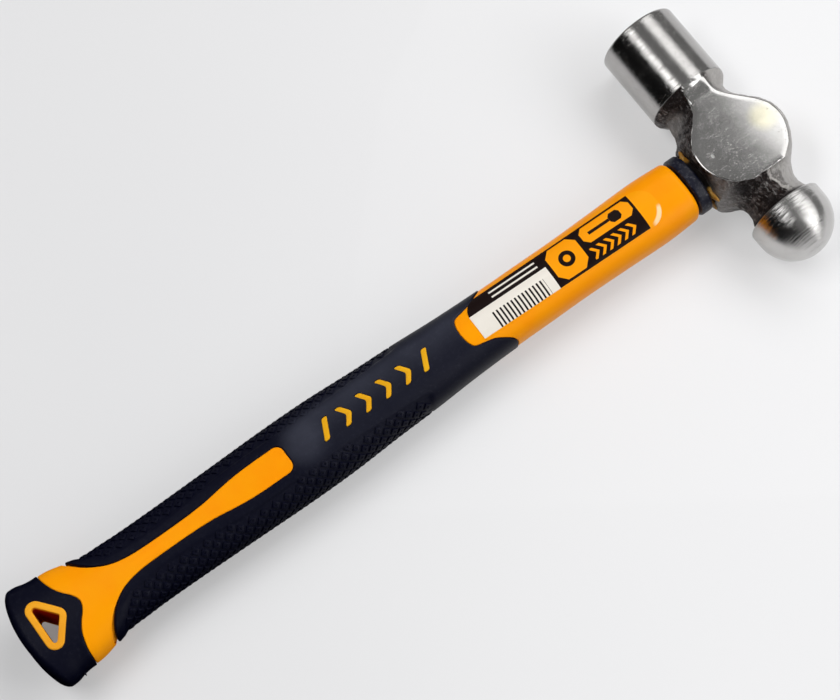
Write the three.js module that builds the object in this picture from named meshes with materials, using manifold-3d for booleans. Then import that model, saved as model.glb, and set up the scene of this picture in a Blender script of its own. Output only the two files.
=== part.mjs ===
import * as THREE from 'three';
import { mergeVertices } from 'three/addons/utils/BufferGeometryUtils.js';
import Module from 'manifold-3d';

const wasm = await Module();
wasm.setup();

// A ball peen hammer lying on its side. All lengths are millimetres.
// While it is drawn, the head's own axis is the y axis: +y points to the striking face and -y to the ball.
// The handle runs toward -x, and z = 0 is the plane that splits head and handle in two alike halves.

// Head
const pollDia = 30;
const ballDia = 28.5;
const eyeToFace = 55.9;
const eyeToPollShoulder = 26.6;
const eyeToFlange = 27.1;
const flangeToBallCentre = 4.8;
const faceChamfer = 0.9;
const shoulderRadius = 3;
const flangeEdgeBreak = 0.6;
const eyeToHeadTop = 20.6;
const eyeToSkirt = 17.2;
const cheekRadius = 17.4;
const acrossCheeks = 27.6;

// Eye through the head, wide at both mouths and narrow inside
const eyeWaistLength = 17.8;
const eyeWaistWidth = 13.2;
const eyeTopFlare = 1;
const skirtMouthFlare = 1.5;

// Handle. Places along it are measured from the butt end toward the head.
const overallLength = 317.1;
const gripWidth = 29.7;
const gripThickness = 20;
const sectionSquareness = 2.5;
const sleeveWall = 2;
const sleeveStandProud = 0.35;
const buttBow = 4;
const buttBowReach = 10.8;
const buttRounding = 3;
const jacketFrontRounding = 2;

const bandToSleeve = 24;
const stripeToFront = 106.5;
const stripeWidth = 10.8;
const stripeCornerRadius = 3;
const tongueToFront = 177.8;
const tongueDepth = 16.5;
const capSideLength = 16;
const capNoseLength = 7.2;

const rodWidth = 14.4;
const rodThickness = 8.8;
const rodTailToButt = 30;
const rodTopRecess = 3.4;
const collarLength = 4.6;
const collarWidth = 23;
const collarThickness = 18.2;
const collarEdge = 0.7;
const beadThickness = 0.8;
const beadLength = 24;
const beadWidth = 17.8;

// Hang hole: three round corners joined by straight sides, the wide side toward the butt end
const holeRearToButt = 6;
const holeCornerRadius = 3.3;
const holeCornerSpread = 12.2;
const holeCornerRise = 4.8;
const linerWall = 2.4;
const linerStandProud = 0.3;
const spigotToHole = 2.4;

// Inlay marks: a bar at each end of a row of arrowheads, all pointing at the head
const markRowToButt = 118;
const markPitch = 8.2;
const markHeight = 7.4;
const markStroke = 2.2;
const markPoint = 2.6;
const markSlant = 1.8;
const arrowheadCount = 4;
const markSink = 0.15;

// Product label
const labelToJacketFront = 12;
const labelLength = 77;
const labelWidth = 15;
const labelOffset = 0.3;
const labelRearRadius = 1;
const labelFrontRadius = 5.5;
const labelFilm = 0.25;
const labelGap = 0.1;

// Clearance between neighbours, and how far a cutting tool runs past what it cuts
const fit = 0.3;
const overrun = 2;

// How finely round shapes are divided
const ringPoints = 32;
const sidePoints = 6;
const flatPoints = 4;
const turnPoints = 48;
const eyePoints = 24;
const ballSteps = 10;
const roundingSteps = 3;
const curvePoints = 30;
const cornerPoints = 5;

// Worked out from the sizes above
const pollRadius = pollDia / 2;
const ballRadius = ballDia / 2;
const ballCentre = -eyeToFlange - flangeToBallCentre;
const cheekHeight = acrossCheeks / 2;
const buttEnd = eyeToHeadTop - overallLength;
const beadFront = -eyeToSkirt - fit;
const collarFront = beadFront - beadThickness - fit;
const jacketFront = collarFront - collarLength - fit;
const handleLength = jacketFront - buttEnd;
const holeRear = buttEnd + holeRearToButt;
const holeRearCentre = holeRear + holeCornerRadius;
const holeApexCentre = holeRearCentre + holeCornerRise;
const spigotEnd = holeApexCentre + holeCornerRadius + fit + spigotToHole;
const prismHeight = pollDia + gripThickness;

// Handle half width along its length: place from the butt end, then reach, as a share of the grip's
const handleWidthShares = [
  [0, 1.302], [0.025, 1.29], [0.048, 1.216], [0.07, 1.202], [0.095, 1.094], [0.119, 0.983],
  [0.143, 0.966], [0.167, 0.95], [0.22, 0.951], [0.3, 0.973], [0.385, 1], [0.45, 0.991],
  [0.52, 0.927], [0.58, 0.889], [0.64, 0.828], [0.7, 0.796], [0.76, 0.792], [0.82, 0.786],
  [0.88, 0.807], [0.945, 0.836], [0.98, 0.811], [1, 0.783],
];
const handleThicknessShares = [
  [0, 1], [0.07, 1], [0.12, 0.97], [0.2, 0.96], [0.385, 1], [0.5, 0.99], [0.64, 0.96],
  [0.8, 0.95], [0.945, 0.97], [1, 0.94],
];

// Forged body between poll and ball, one row for each slice across the head: its place as a share of the
// way from the eye to the poll shoulder (plus) or to the ball flange (minus), its reach to the head top
// and to the skirt, the ground cheek's reach both ways, its height, and how square its two sides are.
const bodySliceShares = [
  [-1.09, 0.58, 0.68, 0.17, 0.1, 0.8, 0.4, 0.4],
  [-0.96, 0.62, 0.7, 0.2, 0.1, 0.83, 0.4, 0.4],
  [-0.88, 0.578, 0.65, 0.2, 0.1, 0.79, 0.35, 0.4],
  [-0.78, 0.539, 0.64, 0.22, 0.1, 0.78, 0.35, 0.45],
  [-0.69, 0.544, 0.657, 0.27, 0.12, 0.82, 0.35, 0.45],
  [-0.61, 0.592, 0.72, 0.37, 0.19, 0.92, 0.4, 0.5],
  [-0.565, 0.626, 0.78, 0.48, 0.29, 1, 0.45, 0.55],
  [-0.52, 0.67, 0.866, 0.58, 0.46, 1, 0.5, 0.6],
  [-0.465, 0.723, 0.965, 0.69, 0.6, 1, 0.6, 0.7],
  [-0.41, 0.785, 1, 0.78, 0.7, 1, 0.7, 0.75],
  [-0.26, 0.912, 1, 0.92, 0.86, 1, 0.75, 0.8],
  [-0.11, 0.975, 1, 1, 0.945, 1, 0.75, 0.8],
  [0, 1, 1, 1.01, 0.96, 1, 0.75, 0.8],
  [0.11, 0.985, 1, 0.98, 0.945, 1, 0.75, 0.8],
  [0.17, 0.97, 1, 0.95, 0.915, 1, 0.75, 0.8],
  [0.3, 0.912, 1, 0.81, 0.8, 1, 0.65, 0.8],
  [0.41, 0.828, 1, 0.66, 0.66, 1, 0.5, 0.75],
  [0.46, 0.785, 0.98, 0.59, 0.58, 1, 0.45, 0.7],
  [0.51, 0.742, 0.907, 0.52, 0.51, 1, 0.4, 0.55],
  [0.6, 0.683, 0.815, 0.41, 0.4, 1, 0.3, 0.4],
  [0.69, 0.641, 0.773, 0.32, 0.32, 1, 0.25, 0.25],
  [0.8, 0.612, 0.762, 0.27, 0.28, 1, 0.2, 0.2],
  [0.94, 0.626, 0.785, 0.25, 0.25, 1.035, 0.25, 0.25],
  [1.05, 0.655, 0.81, 0.17, 0.17, 1.06, 0.3, 0.3],
];

// Eye: place from the skirt (0) to the head top (1), and how much of each mouth's flare it has there
const eyeFlareShares = [
  [0, 1, 0], [0.07, 0.4, 0], [0.3, 0, 0], [0.6, 0, 0.1], [0.85, 0, 0.55], [1, 0, 1],
];

// Half of the slot that the stripe fills: place from its mouth, then reach as a share of the mouth's,
// and farther in as a share of the stripe's
const slotShares = [
  [-0.01, 1], [0.013, 0.785], [0.047, 0.589], [0.102, 0.388], [0.172, 0.23],
];
const stripeShares = [
  [0.25, 0.61], [0.345, 0.545], [0.49, 0.545], [0.61, 0.63], [0.71, 0.835], [0.79, 0.96], [0.88, 1],
];

// Half of the sleeve's front edge: place from the tongue's end, then reach
const tongueShares = [
  [0, 0], [0.018, 0.147], [0.061, 0.246], [0.127, 0.305], [0.321, 0.339], [0.539, 0.379],
  [0.721, 0.452], [0.921, 0.546], [0.985, 0.64], [1, 1],
];

// Half of the butt cap's front edge: place from its sides to its nose, then reach
const capEdgeShares = [
  [0, 1], [0.055, 0.708], [0.25, 0.467], [0.51, 0.305], [0.78, 0.186], [0.94, 0.089], [1, 0],
];

// Profile of the poll's shoulder: drop below the poll's radius, then distance behind the shoulder
const pollShoulderShares = [[1.5, 2], [1, 0.9], [0.45, 0.55], [0.12, 0.25], [0, 0]];

// Widest that the handle gets, and past it, so that outlines drawn to it cross its sides
const mouthHalf = (gripWidth * handleWidthShares[0][1]) / 2 + overrun / 2;

// Value at a place, on a smooth curve through the rows of a table
function follow(rows, place) {
  const last = rows.length - 1;
  const held = Math.min(Math.max(place, rows[0][0]), rows[last][0]);
  let i = 0;
  while (i < last - 1 && held > rows[i + 1][0]) {
    i += 1;
  }
  const slope = (k) => {
    const before = rows[Math.max(k - 1, 0)];
    const after = rows[Math.min(k + 1, last)];
    return (after[1] - before[1]) / (after[0] - before[0]);
  };
  const span = rows[i + 1][0] - rows[i][0];
  const t = (held - rows[i][0]) / span;
  const start = (1 + 2 * t) * (1 - t) ** 2 * rows[i][1] + t * (1 - t) ** 2 * span * slope(i);
  const end = t * t * (3 - 2 * t) * rows[i + 1][1] + t * t * (t - 1) * span * slope(i + 1);
  return start + end;
}

const signedPower = (value, power) => Math.sign(value) * Math.abs(value) ** power;

// A closed skin over rings of equal length, each turning left about the way they follow one another
function loft(rings) {
  const positions = rings.flat().flatMap((point) => [point.x, point.y, point.z]);
  const count = rings[0].length;
  const faces = [];
  for (let i = 0; i < rings.length - 1; i += 1) {
    for (let j = 0; j < count; j += 1) {
      const a = i * count + j;
      const b = i * count + (j + 1) % count;
      faces.push(a, b, b + count, a, b + count, a + count);
    }
  }
  const closeEnd = (ring, first, reverse) => {
    const middle = ring.reduce((sum, point) => sum.add(point), new THREE.Vector3());
    middle.divideScalar(count);
    positions.push(middle.x, middle.y, middle.z);
    const centre = positions.length / 3 - 1;
    for (let j = 0; j < count; j += 1) {
      const a = first + j;
      const b = first + (j + 1) % count;
      faces.push(centre, reverse ? b : a, reverse ? a : b);
    }
  };
  closeEnd(rings[0], 0, true);
  closeEnd(rings[rings.length - 1], (rings.length - 1) * count, false);
  const geometry = new THREE.BufferGeometry();
  geometry.setAttribute('position', new THREE.Float32BufferAttribute(positions, 3));
  geometry.setIndex(faces);
  return geometry;
}

// Solids for joining and cutting, and back to geometry
function solid(geometry) {
  const bare = geometry.clone();
  bare.deleteAttribute('normal');
  bare.deleteAttribute('uv');
  const merged = mergeVertices(bare);
  return new wasm.Manifold(new wasm.Mesh({
    numProp: 3,
    vertProperties: merged.attributes.position.array,
    triVerts: new Uint32Array(merged.index.array),
  }));
}

function geometryOf(body) {
  const mesh = body.getMesh();
  const geometry = new THREE.BufferGeometry();
  geometry.setAttribute('position', new THREE.Float32BufferAttribute(mesh.vertProperties, mesh.numProp));
  geometry.setIndex(Array.from(mesh.triVerts));
  geometry.computeVertexNormals();
  return geometry;
}

// A solid with the given plan outline, from one height to another
function prism(points, low = -prismHeight / 2, high = prismHeight / 2) {
  const geometry = new THREE.ExtrudeGeometry(new THREE.Shape(points), {
    depth: high - low,
    bevelEnabled: false,
  });
  geometry.translate(0, 0, low);
  return solid(geometry);
}

// The same outline moved outward by a distance, for a clearance around a piece
function grown(points, distance) {
  const count = points.length;
  const turn = THREE.ShapeUtils.area(points) > 0 ? 1 : -1;
  return points.map((point, i) => {
    const before = points[(i + count - 1) % count];
    const after = points[(i + 1) % count];
    const along = point.clone().sub(before).normalize();
    const onward = after.clone().sub(point).normalize();
    const lean = along.clone().add(onward).normalize();
    const reach = turn * distance / Math.max(lean.dot(onward), 0.5);
    return new THREE.Vector2(point.x + lean.y * reach, point.y - lean.x * reach);
  });
}

// Rings across the handle: superellipses whose middle is drawn back toward the butt end
function handleRing(place, halfWidth, halfThickness, bow = 0) {
  const power = 2 / sectionSquareness;
  return Array.from({ length: ringPoints }, (_, i) => {
    const angle = (2 * Math.PI * i) / ringPoints;
    const y = halfWidth * signedPower(Math.cos(angle), power);
    const z = halfThickness * signedPower(Math.sin(angle), power);
    return new THREE.Vector3(place + bow * (y / gripWidth) ** 2, y, z);
  });
}

const handleShareAt = (place) => (place - buttEnd) / handleLength;
const halfWidthAt = (place) => (gripWidth / 2) * follow(handleWidthShares, handleShareAt(place));
const halfThicknessAt = (place) => (
  (gripThickness / 2) * follow(handleThicknessShares, handleShareAt(place))
);

// The handle's skin, moved inward by an inset, with the edge at each end rounded
function handleSkin(inset, rear = buttEnd + inset, front = jacketFront - inset) {
  const rings = [];
  const bowAt = (place) => {
    const fade = Math.max(0, 1 - (place - buttEnd) / buttBowReach);
    return fade * buttBow * (2 / handleWidthShares[0][1]) ** 2;
  };
  const addRing = (place, trim) => rings.push(handleRing(
    place,
    halfWidthAt(place) - inset - trim,
    halfThicknessAt(place) - inset - trim,
    bowAt(place),
  ));
  const roundEnd = (end, inward, rounding) => {
    const steps = Array.from({ length: roundingSteps + 1 }, (_, k) => (k / roundingSteps) * (Math.PI / 2));
    return steps.map((angle) => ({
      place: end + inward * rounding * (1 - Math.sin(angle)),
      trim: rounding * (1 - Math.cos(angle)),
    }));
  };
  const butt = roundEnd(rear, 1, buttRounding).reverse();
  const nose = roundEnd(front, -1, jacketFrontRounding);
  butt.forEach(({ place, trim }) => addRing(place, trim));
  const from = butt[butt.length - 1].place;
  const upTo = nose[0].place;
  handleWidthShares.map(([share]) => buttEnd + share * handleLength)
    .filter((place) => place > from + buttRounding / 2 && place < upTo - jacketFrontRounding / 2)
    .forEach((place) => addRing(place, 0));
  nose.forEach(({ place, trim }) => addRing(place, trim));
  const capMiddle = rings[0].map((point) => new THREE.Vector3(
    rear + (point.x - rear) / 4,
    point.y / 2,
    point.z / 2,
  ));
  return solid(loft([capMiddle, ...rings]));
}

// Plan outlines, each drawn as one half and mirrored across the handle's middle line
function mirrored(half) {
  const beside = half.filter((point) => point.y > 0);
  return [...half, ...beside.map((point) => new THREE.Vector2(point.x, -point.y)).reverse()];
}

const smooth = (points, count = curvePoints) => new THREE.SplineCurve(points).getPoints(count);

function sleevePlan() {
  const mouth = buttEnd + bandToSleeve;
  const stripeFront = buttEnd + stripeToFront;
  const slotLength = stripeFront - mouth;
  const slot = smooth([
    ...slotShares.map(([at, reach]) => new THREE.Vector2(
      mouth + at * slotLength,
      reach * mouthHalf,
    )),
    ...stripeShares.map(([at, reach]) => new THREE.Vector2(
      mouth + at * slotLength,
      (reach * stripeWidth) / 2,
    )),
  ]);
  const corner = Array.from({ length: cornerPoints }, (_, i) => {
    const angle = ((Math.PI / 2) * i) / cornerPoints;
    return new THREE.Vector2(
      stripeFront - stripeCornerRadius * (1 - Math.cos(angle)),
      stripeWidth / 2 - stripeCornerRadius * (1 - Math.sin(angle)),
    );
  });
  const tongueEnd = buttEnd + tongueToFront;
  const front = smooth(tongueShares.map(([at, reach]) => new THREE.Vector2(
    tongueEnd + at * tongueDepth,
    reach * mouthHalf,
  )));
  return mirrored([
    new THREE.Vector2(stripeFront, 0),
    ...corner,
    ...slot.reverse(),
    ...front.reverse(),
  ]);
}

function capPlan() {
  const sideEdge = buttEnd + capSideLength;
  const edge = smooth(capEdgeShares.map(([at, reach]) => new THREE.Vector2(
    sideEdge + at * capNoseLength,
    reach * mouthHalf,
  )));
  const behind = buttEnd - overrun;
  return mirrored([
    new THREE.Vector2(behind, 0),
    new THREE.Vector2(behind, mouthHalf),
    ...edge,
  ]);
}

function hangHolePlan(radius) {
  const spread = holeCornerSpread / 2;
  const lean = Math.atan2(holeCornerRise, spread);
  const arc = (x, y, from, to) => Array.from({ length: cornerPoints + 2 }, (_, i) => {
    const angle = from + ((to - from) * i) / (cornerPoints + 1);
    return new THREE.Vector2(x + radius * Math.cos(angle), y + radius * Math.sin(angle));
  });
  return [
    ...arc(holeApexCentre, 0, -lean, lean),
    ...arc(holeRearCentre, spread, lean, Math.PI),
    ...arc(holeRearCentre, -spread, Math.PI, 2 * Math.PI - lean),
  ];
}

function barPlan(middle) {
  const high = markHeight / 2;
  const half = markStroke / 2;
  return [
    new THREE.Vector2(middle - half - markSlant, -high),
    new THREE.Vector2(middle + half - markSlant, -high),
    new THREE.Vector2(middle + half + markSlant, high),
    new THREE.Vector2(middle - half + markSlant, high),
  ];
}

function arrowheadPlan(middle) {
  const high = markHeight / 2;
  const rear = middle - (markPoint + markStroke) / 2;
  return [
    new THREE.Vector2(rear, -high),
    new THREE.Vector2(rear + markStroke, -high),
    new THREE.Vector2(rear + markStroke + markPoint, 0),
    new THREE.Vector2(rear + markStroke, high),
    new THREE.Vector2(rear, high),
    new THREE.Vector2(rear + markPoint, 0),
  ];
}

function labelPlan() {
  const front = jacketFront - labelToJacketFront;
  const rear = front - labelLength;
  const low = labelOffset - labelWidth / 2;
  const high = labelOffset + labelWidth / 2;
  const corner = (x, y, radius, from) => Array.from({ length: cornerPoints }, (_, i) => {
    const angle = from + ((Math.PI / 2) * i) / (cornerPoints - 1);
    return new THREE.Vector2(x + radius * Math.cos(angle), y + radius * Math.sin(angle));
  });
  return [
    ...corner(front - labelFrontRadius, low + labelFrontRadius, labelFrontRadius, -Math.PI / 2),
    ...corner(front - labelFrontRadius, high - labelFrontRadius, labelFrontRadius, 0),
    ...corner(rear + labelRearRadius, high - labelRearRadius, labelRearRadius, Math.PI / 2),
    ...corner(rear + labelRearRadius, low + labelRearRadius, labelRearRadius, Math.PI),
  ];
}

// Straight and flared oval bars along the handle's line
function oval(place, length, width) {
  return Array.from({ length: eyePoints }, (_, i) => {
    const angle = (2 * Math.PI * i) / eyePoints;
    return new THREE.Vector3(place, (length / 2) * Math.cos(angle), (width / 2) * Math.sin(angle));
  });
}

function rodBar(clearance, rear, front) {
  const length = rodWidth + 2 * clearance;
  const width = rodThickness + 2 * clearance;
  return solid(loft([oval(rear, length, width), oval(front, length, width)]));
}

function eyeBar(clearance, rearOverrun, frontOverrun) {
  const depth = eyeToSkirt + eyeToHeadTop;
  const rings = eyeFlareShares.map(([at, skirtFlare, topFlare]) => {
    const flare = 2 * (skirtFlare * skirtMouthFlare + topFlare * eyeTopFlare - clearance);
    return oval(at * depth - eyeToSkirt, eyeWaistLength + flare, eyeWaistWidth + flare);
  });
  const shifted = (ring, distance) => ring.map((point) => (
    new THREE.Vector3(point.x + distance, point.y, point.z)
  ));
  const beyond = [shifted(rings[rings.length - 1], frontOverrun)];
  return solid(loft([
    shifted(rings[0], -rearOverrun),
    ...rings,
    ...(frontOverrun > 0 ? beyond : []),
  ]));
}

// One slice across the forged body, from the skirt side over the upper cheek to the head top and back
function bodySlice([at, top, skirt, cheekTop, cheekSkirt, height, topSquare, skirtSquare]) {
  const y = at * (at > 0 ? eyeToPollShoulder : eyeToFlange);
  const high = height * cheekHeight;
  const side = (reach, cheekReach, square, sign) => {
    const corner = new THREE.Vector2(reach, high);
    const middle = new THREE.Vector2((reach + cheekReach) / 2, high / 2);
    const control = middle.lerp(corner, square);
    const edge = new THREE.QuadraticBezierCurve(
      new THREE.Vector2(cheekReach, high),
      control,
      new THREE.Vector2(reach, 0),
    );
    return edge.getPoints(sidePoints).map((point) => new THREE.Vector3(sign * point.x, y, point.y));
  };
  const skirtSide = side(skirt * eyeToSkirt, cheekSkirt * cheekRadius, skirtSquare, -1).reverse();
  const topSide = side(top * eyeToHeadTop, cheekTop * cheekRadius, topSquare, 1);
  const from = skirtSide[skirtSide.length - 1];
  const flat = Array.from({ length: flatPoints - 1 }, (_, i) => (
    from.clone().lerp(topSide[0], (i + 1) / flatPoints)
  ));
  const upper = [...skirtSide, ...flat, ...topSide];
  const lower = upper.slice(1, -1).reverse().map((point) => new THREE.Vector3(point.x, point.y, -point.z));
  return [...upper, ...lower];
}

// A turned shape about the head's axis, from rows of radius and place
function turned(rows) {
  const profile = rows.map(([radius, place]) => new THREE.Vector2(radius, place));
  return solid(new THREE.LatheGeometry(profile, turnPoints));
}

function makePoll() {
  const shoulder = pollShoulderShares.map(([drop, back]) => [
    pollRadius - drop * shoulderRadius,
    eyeToPollShoulder - back * shoulderRadius,
  ]);
  return turned([
    [0, shoulder[0][1]],
    ...shoulder,
    [pollRadius, eyeToFace - faceChamfer],
    [pollRadius - faceChamfer, eyeToFace],
    [0, eyeToFace],
  ]);
}

function makeBall() {
  const dome = Array.from({ length: ballSteps + 1 }, (_, i) => {
    const angle = (Math.PI / 2) * (1 - i / ballSteps);
    return [ballRadius * Math.cos(angle), ballCentre - ballRadius * Math.sin(angle)];
  });
  return turned([
    ...dome,
    [ballRadius, -eyeToFlange - flangeEdgeBreak],
    [ballRadius - flangeEdgeBreak, -eyeToFlange],
    [0, -eyeToFlange],
  ]);
}

function makeHead() {
  const body = solid(loft(bodySliceShares.map(bodySlice)));
  return body.add(makePoll()).add(makeBall()).subtract(eyeBar(0, overrun, overrun));
}

// Resin round the rod, and the bead of it squeezed out onto the skirt
function makeEpoxy() {
  const top = eyeToHeadTop - rodTopRecess;
  const fill = eyeBar(fit, fit, 0).intersect(prism([
    new THREE.Vector2(beadFront - fit, -pollRadius),
    new THREE.Vector2(top, -pollRadius),
    new THREE.Vector2(top, pollRadius),
    new THREE.Vector2(beadFront - fit, pollRadius),
  ]));
  const bead = solid(loft([
    oval(beadFront - beadThickness, beadLength - beadThickness, beadWidth - beadThickness),
    oval(beadFront - beadThickness / 2, beadLength, beadWidth),
    oval(beadFront, beadLength - beadThickness / 2, beadWidth - beadThickness / 2),
  ]));
  return fill.add(bead).subtract(rodBar(fit, collarFront, eyeToHeadTop));
}

function makeCollar() {
  const rear = collarFront - collarLength;
  const ring = (place, trim) => oval(place, collarWidth - 2 * trim, collarThickness - 2 * trim);
  const body = solid(loft([
    ring(rear, collarEdge),
    ring(rear + collarEdge, 0),
    ring(collarFront - collarEdge, 0),
    ring(collarFront, collarEdge),
  ]));
  return body.subtract(rodBar(fit, rear - overrun, collarFront + overrun));
}

function makeRod() {
  return rodBar(0, buttEnd + rodTailToButt, eyeToHeadTop - rodTopRecess);
}

function makeJacket(sleeveOutline, capOutline) {
  const core = handleSkin(sleeveWall + fit, spigotEnd);
  const lands = handleSkin(sleeveStandProud)
    .subtract(prism(grown(sleeveOutline, fit)))
    .subtract(prism(grown(capOutline, fit)));
  return core.add(lands)
    .subtract(rodBar(fit, buttEnd + rodTailToButt - fit, jacketFront + overrun));
}

function makeSleeve(sleeveOutline, marks) {
  let sleeve = handleSkin(0).subtract(handleSkin(sleeveWall)).intersect(prism(sleeveOutline));
  marks.forEach((outline) => {
    sleeve = sleeve.subtract(prism(grown(outline, fit)));
  });
  return sleeve;
}

function makeCap(capOutline) {
  return handleSkin(0)
    .intersect(prism(capOutline))
    .subtract(handleSkin(sleeveWall, spigotEnd - fit))
    .subtract(prism(hangHolePlan(holeCornerRadius + fit)));
}

function makeLiner() {
  return handleSkin(-linerStandProud)
    .intersect(prism(hangHolePlan(holeCornerRadius)))
    .subtract(prism(hangHolePlan(holeCornerRadius - linerWall)));
}

function makeMark(outline, up) {
  const shell = handleSkin(markSink).subtract(handleSkin(sleeveWall));
  const half = prismHeight / 2;
  return shell.intersect(up ? prism(outline, 0, half) : prism(outline, -half, 0));
}

function makeLabel(sleeveOutline) {
  const under = sleeveStandProud - labelGap;
  return handleSkin(under - labelFilm)
    .subtract(handleSkin(under))
    .intersect(prism(labelPlan(), 0, prismHeight / 2))
    .subtract(prism(grown(sleeveOutline, fit)));
}

// Finishes seen on the real hammer
const finish = {
  steel: { color: 0x9a9a98, roughness: 0.35, metalness: 0.95 },
  orange: { color: 0xff9a05, roughness: 0.38, metalness: 0 },
  black: { color: 0x23242c, roughness: 0.6, metalness: 0 },
  amber: { color: 0xe9ae1b, roughness: 0.45, metalness: 0 },
  resin: { color: 0xa9752a, roughness: 0.35, metalness: 0 },
  glassFibre: { color: 0xd9cf9a, roughness: 0.55, metalness: 0 },
  film: { color: 0x1c120e, roughness: 0.3, metalness: 0 },
};

const hammer = new THREE.Group();

function place(name, body, look) {
  const mesh = new THREE.Mesh(geometryOf(body), new THREE.MeshStandardMaterial(look));
  mesh.name = name;
  hammer.add(mesh);
}

const sleeveOutline = sleevePlan();
const capOutline = capPlan();
const markRow = Array.from({ length: arrowheadCount + 2 }, (_, i) => (
  buttEnd + markRowToButt + markPitch * (i + 0.5)
));
const marks = markRow.map((middle, i) => (
  i === 0 || i === markRow.length - 1 ? barPlan(middle) : arrowheadPlan(middle)
));

place('hammer_head', makeHead(), finish.steel);
place('fibreglass_rod', makeRod(), finish.glassFibre);
place('eye_epoxy', makeEpoxy(), finish.resin);
place('neck_collar', makeCollar(), finish.black);
place('handle_jacket', makeJacket(sleeveOutline, capOutline), finish.orange);
place('grip_sleeve', makeSleeve(sleeveOutline, marks), finish.black);
place('butt_cap', makeCap(capOutline), finish.black);
place('hang_hole_liner', makeLiner(), finish.amber);
place('product_label', makeLabel(sleeveOutline), finish.film);
marks.forEach((outline, i) => {
  place(`inlay_mark_front_${i + 1}`, makeMark(outline, true), finish.amber);
  place(`inlay_mark_back_${i + 1}`, makeMark(outline, false), finish.amber);
});

// The finished hammer lies on z = 0, with the middle of its box over the origin
const box = new THREE.Box3().setFromObject(hammer);
const boxCentre = box.getCenter(new THREE.Vector3());
hammer.position.set(-boxCentre.x, -boxCentre.y, -box.min.z);

export default hammer;
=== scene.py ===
"""A ball peen hammer lying on a pale sheet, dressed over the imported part.

Sizes are in millimetres in the hammer's own frame: the middle of the head's eye is the origin, +y
points to the striking face, the handle runs toward -x, and z = 0 is the plane that splits the hammer
in two halves.
"""

import logging
import math
from dataclasses import dataclass
from enum import Enum
from typing import Any, Sequence

import bpy
import numpy as np
from mathutils import Matrix, Vector, noise


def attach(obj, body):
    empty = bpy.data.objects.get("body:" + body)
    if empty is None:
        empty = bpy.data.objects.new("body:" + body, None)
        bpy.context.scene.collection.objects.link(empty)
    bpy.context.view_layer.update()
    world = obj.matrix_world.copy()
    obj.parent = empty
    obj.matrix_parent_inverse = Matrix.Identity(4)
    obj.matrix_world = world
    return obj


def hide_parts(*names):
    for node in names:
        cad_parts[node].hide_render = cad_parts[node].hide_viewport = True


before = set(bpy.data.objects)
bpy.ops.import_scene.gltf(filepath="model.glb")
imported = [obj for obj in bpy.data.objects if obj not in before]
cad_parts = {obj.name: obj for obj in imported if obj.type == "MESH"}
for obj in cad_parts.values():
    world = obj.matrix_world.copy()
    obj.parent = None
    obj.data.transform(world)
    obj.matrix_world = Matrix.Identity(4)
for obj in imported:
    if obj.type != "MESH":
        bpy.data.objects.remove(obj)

Piece = bpy.types.Object
Finish = bpy.types.Material
Colour = tuple[float, float, float, float]
Rows = tuple[tuple[float, ...], ...]

log = logging.getLogger("hammer")

MM = 0.001
# The middle of the head's eye in the row frame, in millimetres
DATUM = np.array((138.2577, -4.875, 15.0))
QUARTER = math.pi / 2
# Distances from a rounded edge, in millimetres, at which it has points
NEAR = (0.0, 0.06, 0.13, 0.21, 0.31, 0.45, 0.7, 1.1)


class Slot(Enum):
    """Material slots of the record."""

    STEEL = "forged_steel"
    GLASS = "fibreglass"
    RESIN = "amber_resin"
    RUBBER = "black_rubber"
    ORANGE = "orange_plastic"
    AMBER = "amber_plastic"
    FILM = "label_film"


class Axis(Enum):
    """Line that a drawn shape is extruded along."""

    HANDLE = 0
    HEAD = 1


# ---- curves


@dataclass(frozen=True)
class Shares:
    """A smooth curve through rows of place and value."""

    rows: Rows

    def at(self, place: Any) -> np.ndarray:
        """Gives the values at some places, held at both ends.

        Args:
            place: places along the curve.

        Returns:
            One value for each place.
        """
        x = np.array([row[0] for row in self.rows])
        y = np.array([row[1] for row in self.rows])
        slope = np.empty_like(y)
        slope[1:-1] = (y[2:] - y[:-2]) / (x[2:] - x[:-2])
        slope[0] = (y[1] - y[0]) / (x[1] - x[0])
        slope[-1] = (y[-1] - y[-2]) / (x[-1] - x[-2])
        held = np.clip(place, x[0], x[-1])
        i = np.clip(np.searchsorted(x, held, side="right") - 1, 0, len(x) - 2)
        span = x[i + 1] - x[i]
        t = (held - x[i]) / span
        start = (1 + 2 * t) * (1 - t) ** 2 * y[i] + t * (1 - t) ** 2 * span * slope[i]
        end = t * t * (3 - 2 * t) * y[i + 1] + t * t * (t - 1) * span * slope[i + 1]
        return start + end


def smooth(points: Sequence[tuple[float, float]], count: int = 400) -> np.ndarray:
    """Runs an even spline through plan points.

    Args:
        points: the points, in order.
        count: how many steps the curve has.

    Returns:
        The curve's points, one row each.
    """
    given = np.array(points, float)
    last = len(given) - 1
    at = np.linspace(0, last, count + 1)
    i = np.minimum(at.astype(int), last - 1)
    t = (at - i)[:, None]
    p0, p1 = given[np.maximum(i - 1, 0)], given[i]
    p2, p3 = given[i + 1], given[np.minimum(i + 2, last)]
    v0, v1 = (p2 - p0) / 2, (p3 - p1) / 2
    cubic = (2 * p1 - 2 * p2 + v0 + v1) * t**3 + (3 * p2 - 3 * p1 - 2 * v0 - v1) * t**2
    return cubic + v0 * t + p1


def ease(value: Any, low: float, high: float) -> np.ndarray:
    """Rises smoothly from 0 at low to 1 at high."""
    t = np.clip((np.asarray(value, float) - low) / (high - low), 0, 1)
    return t * t * (3 - 2 * t)


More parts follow.
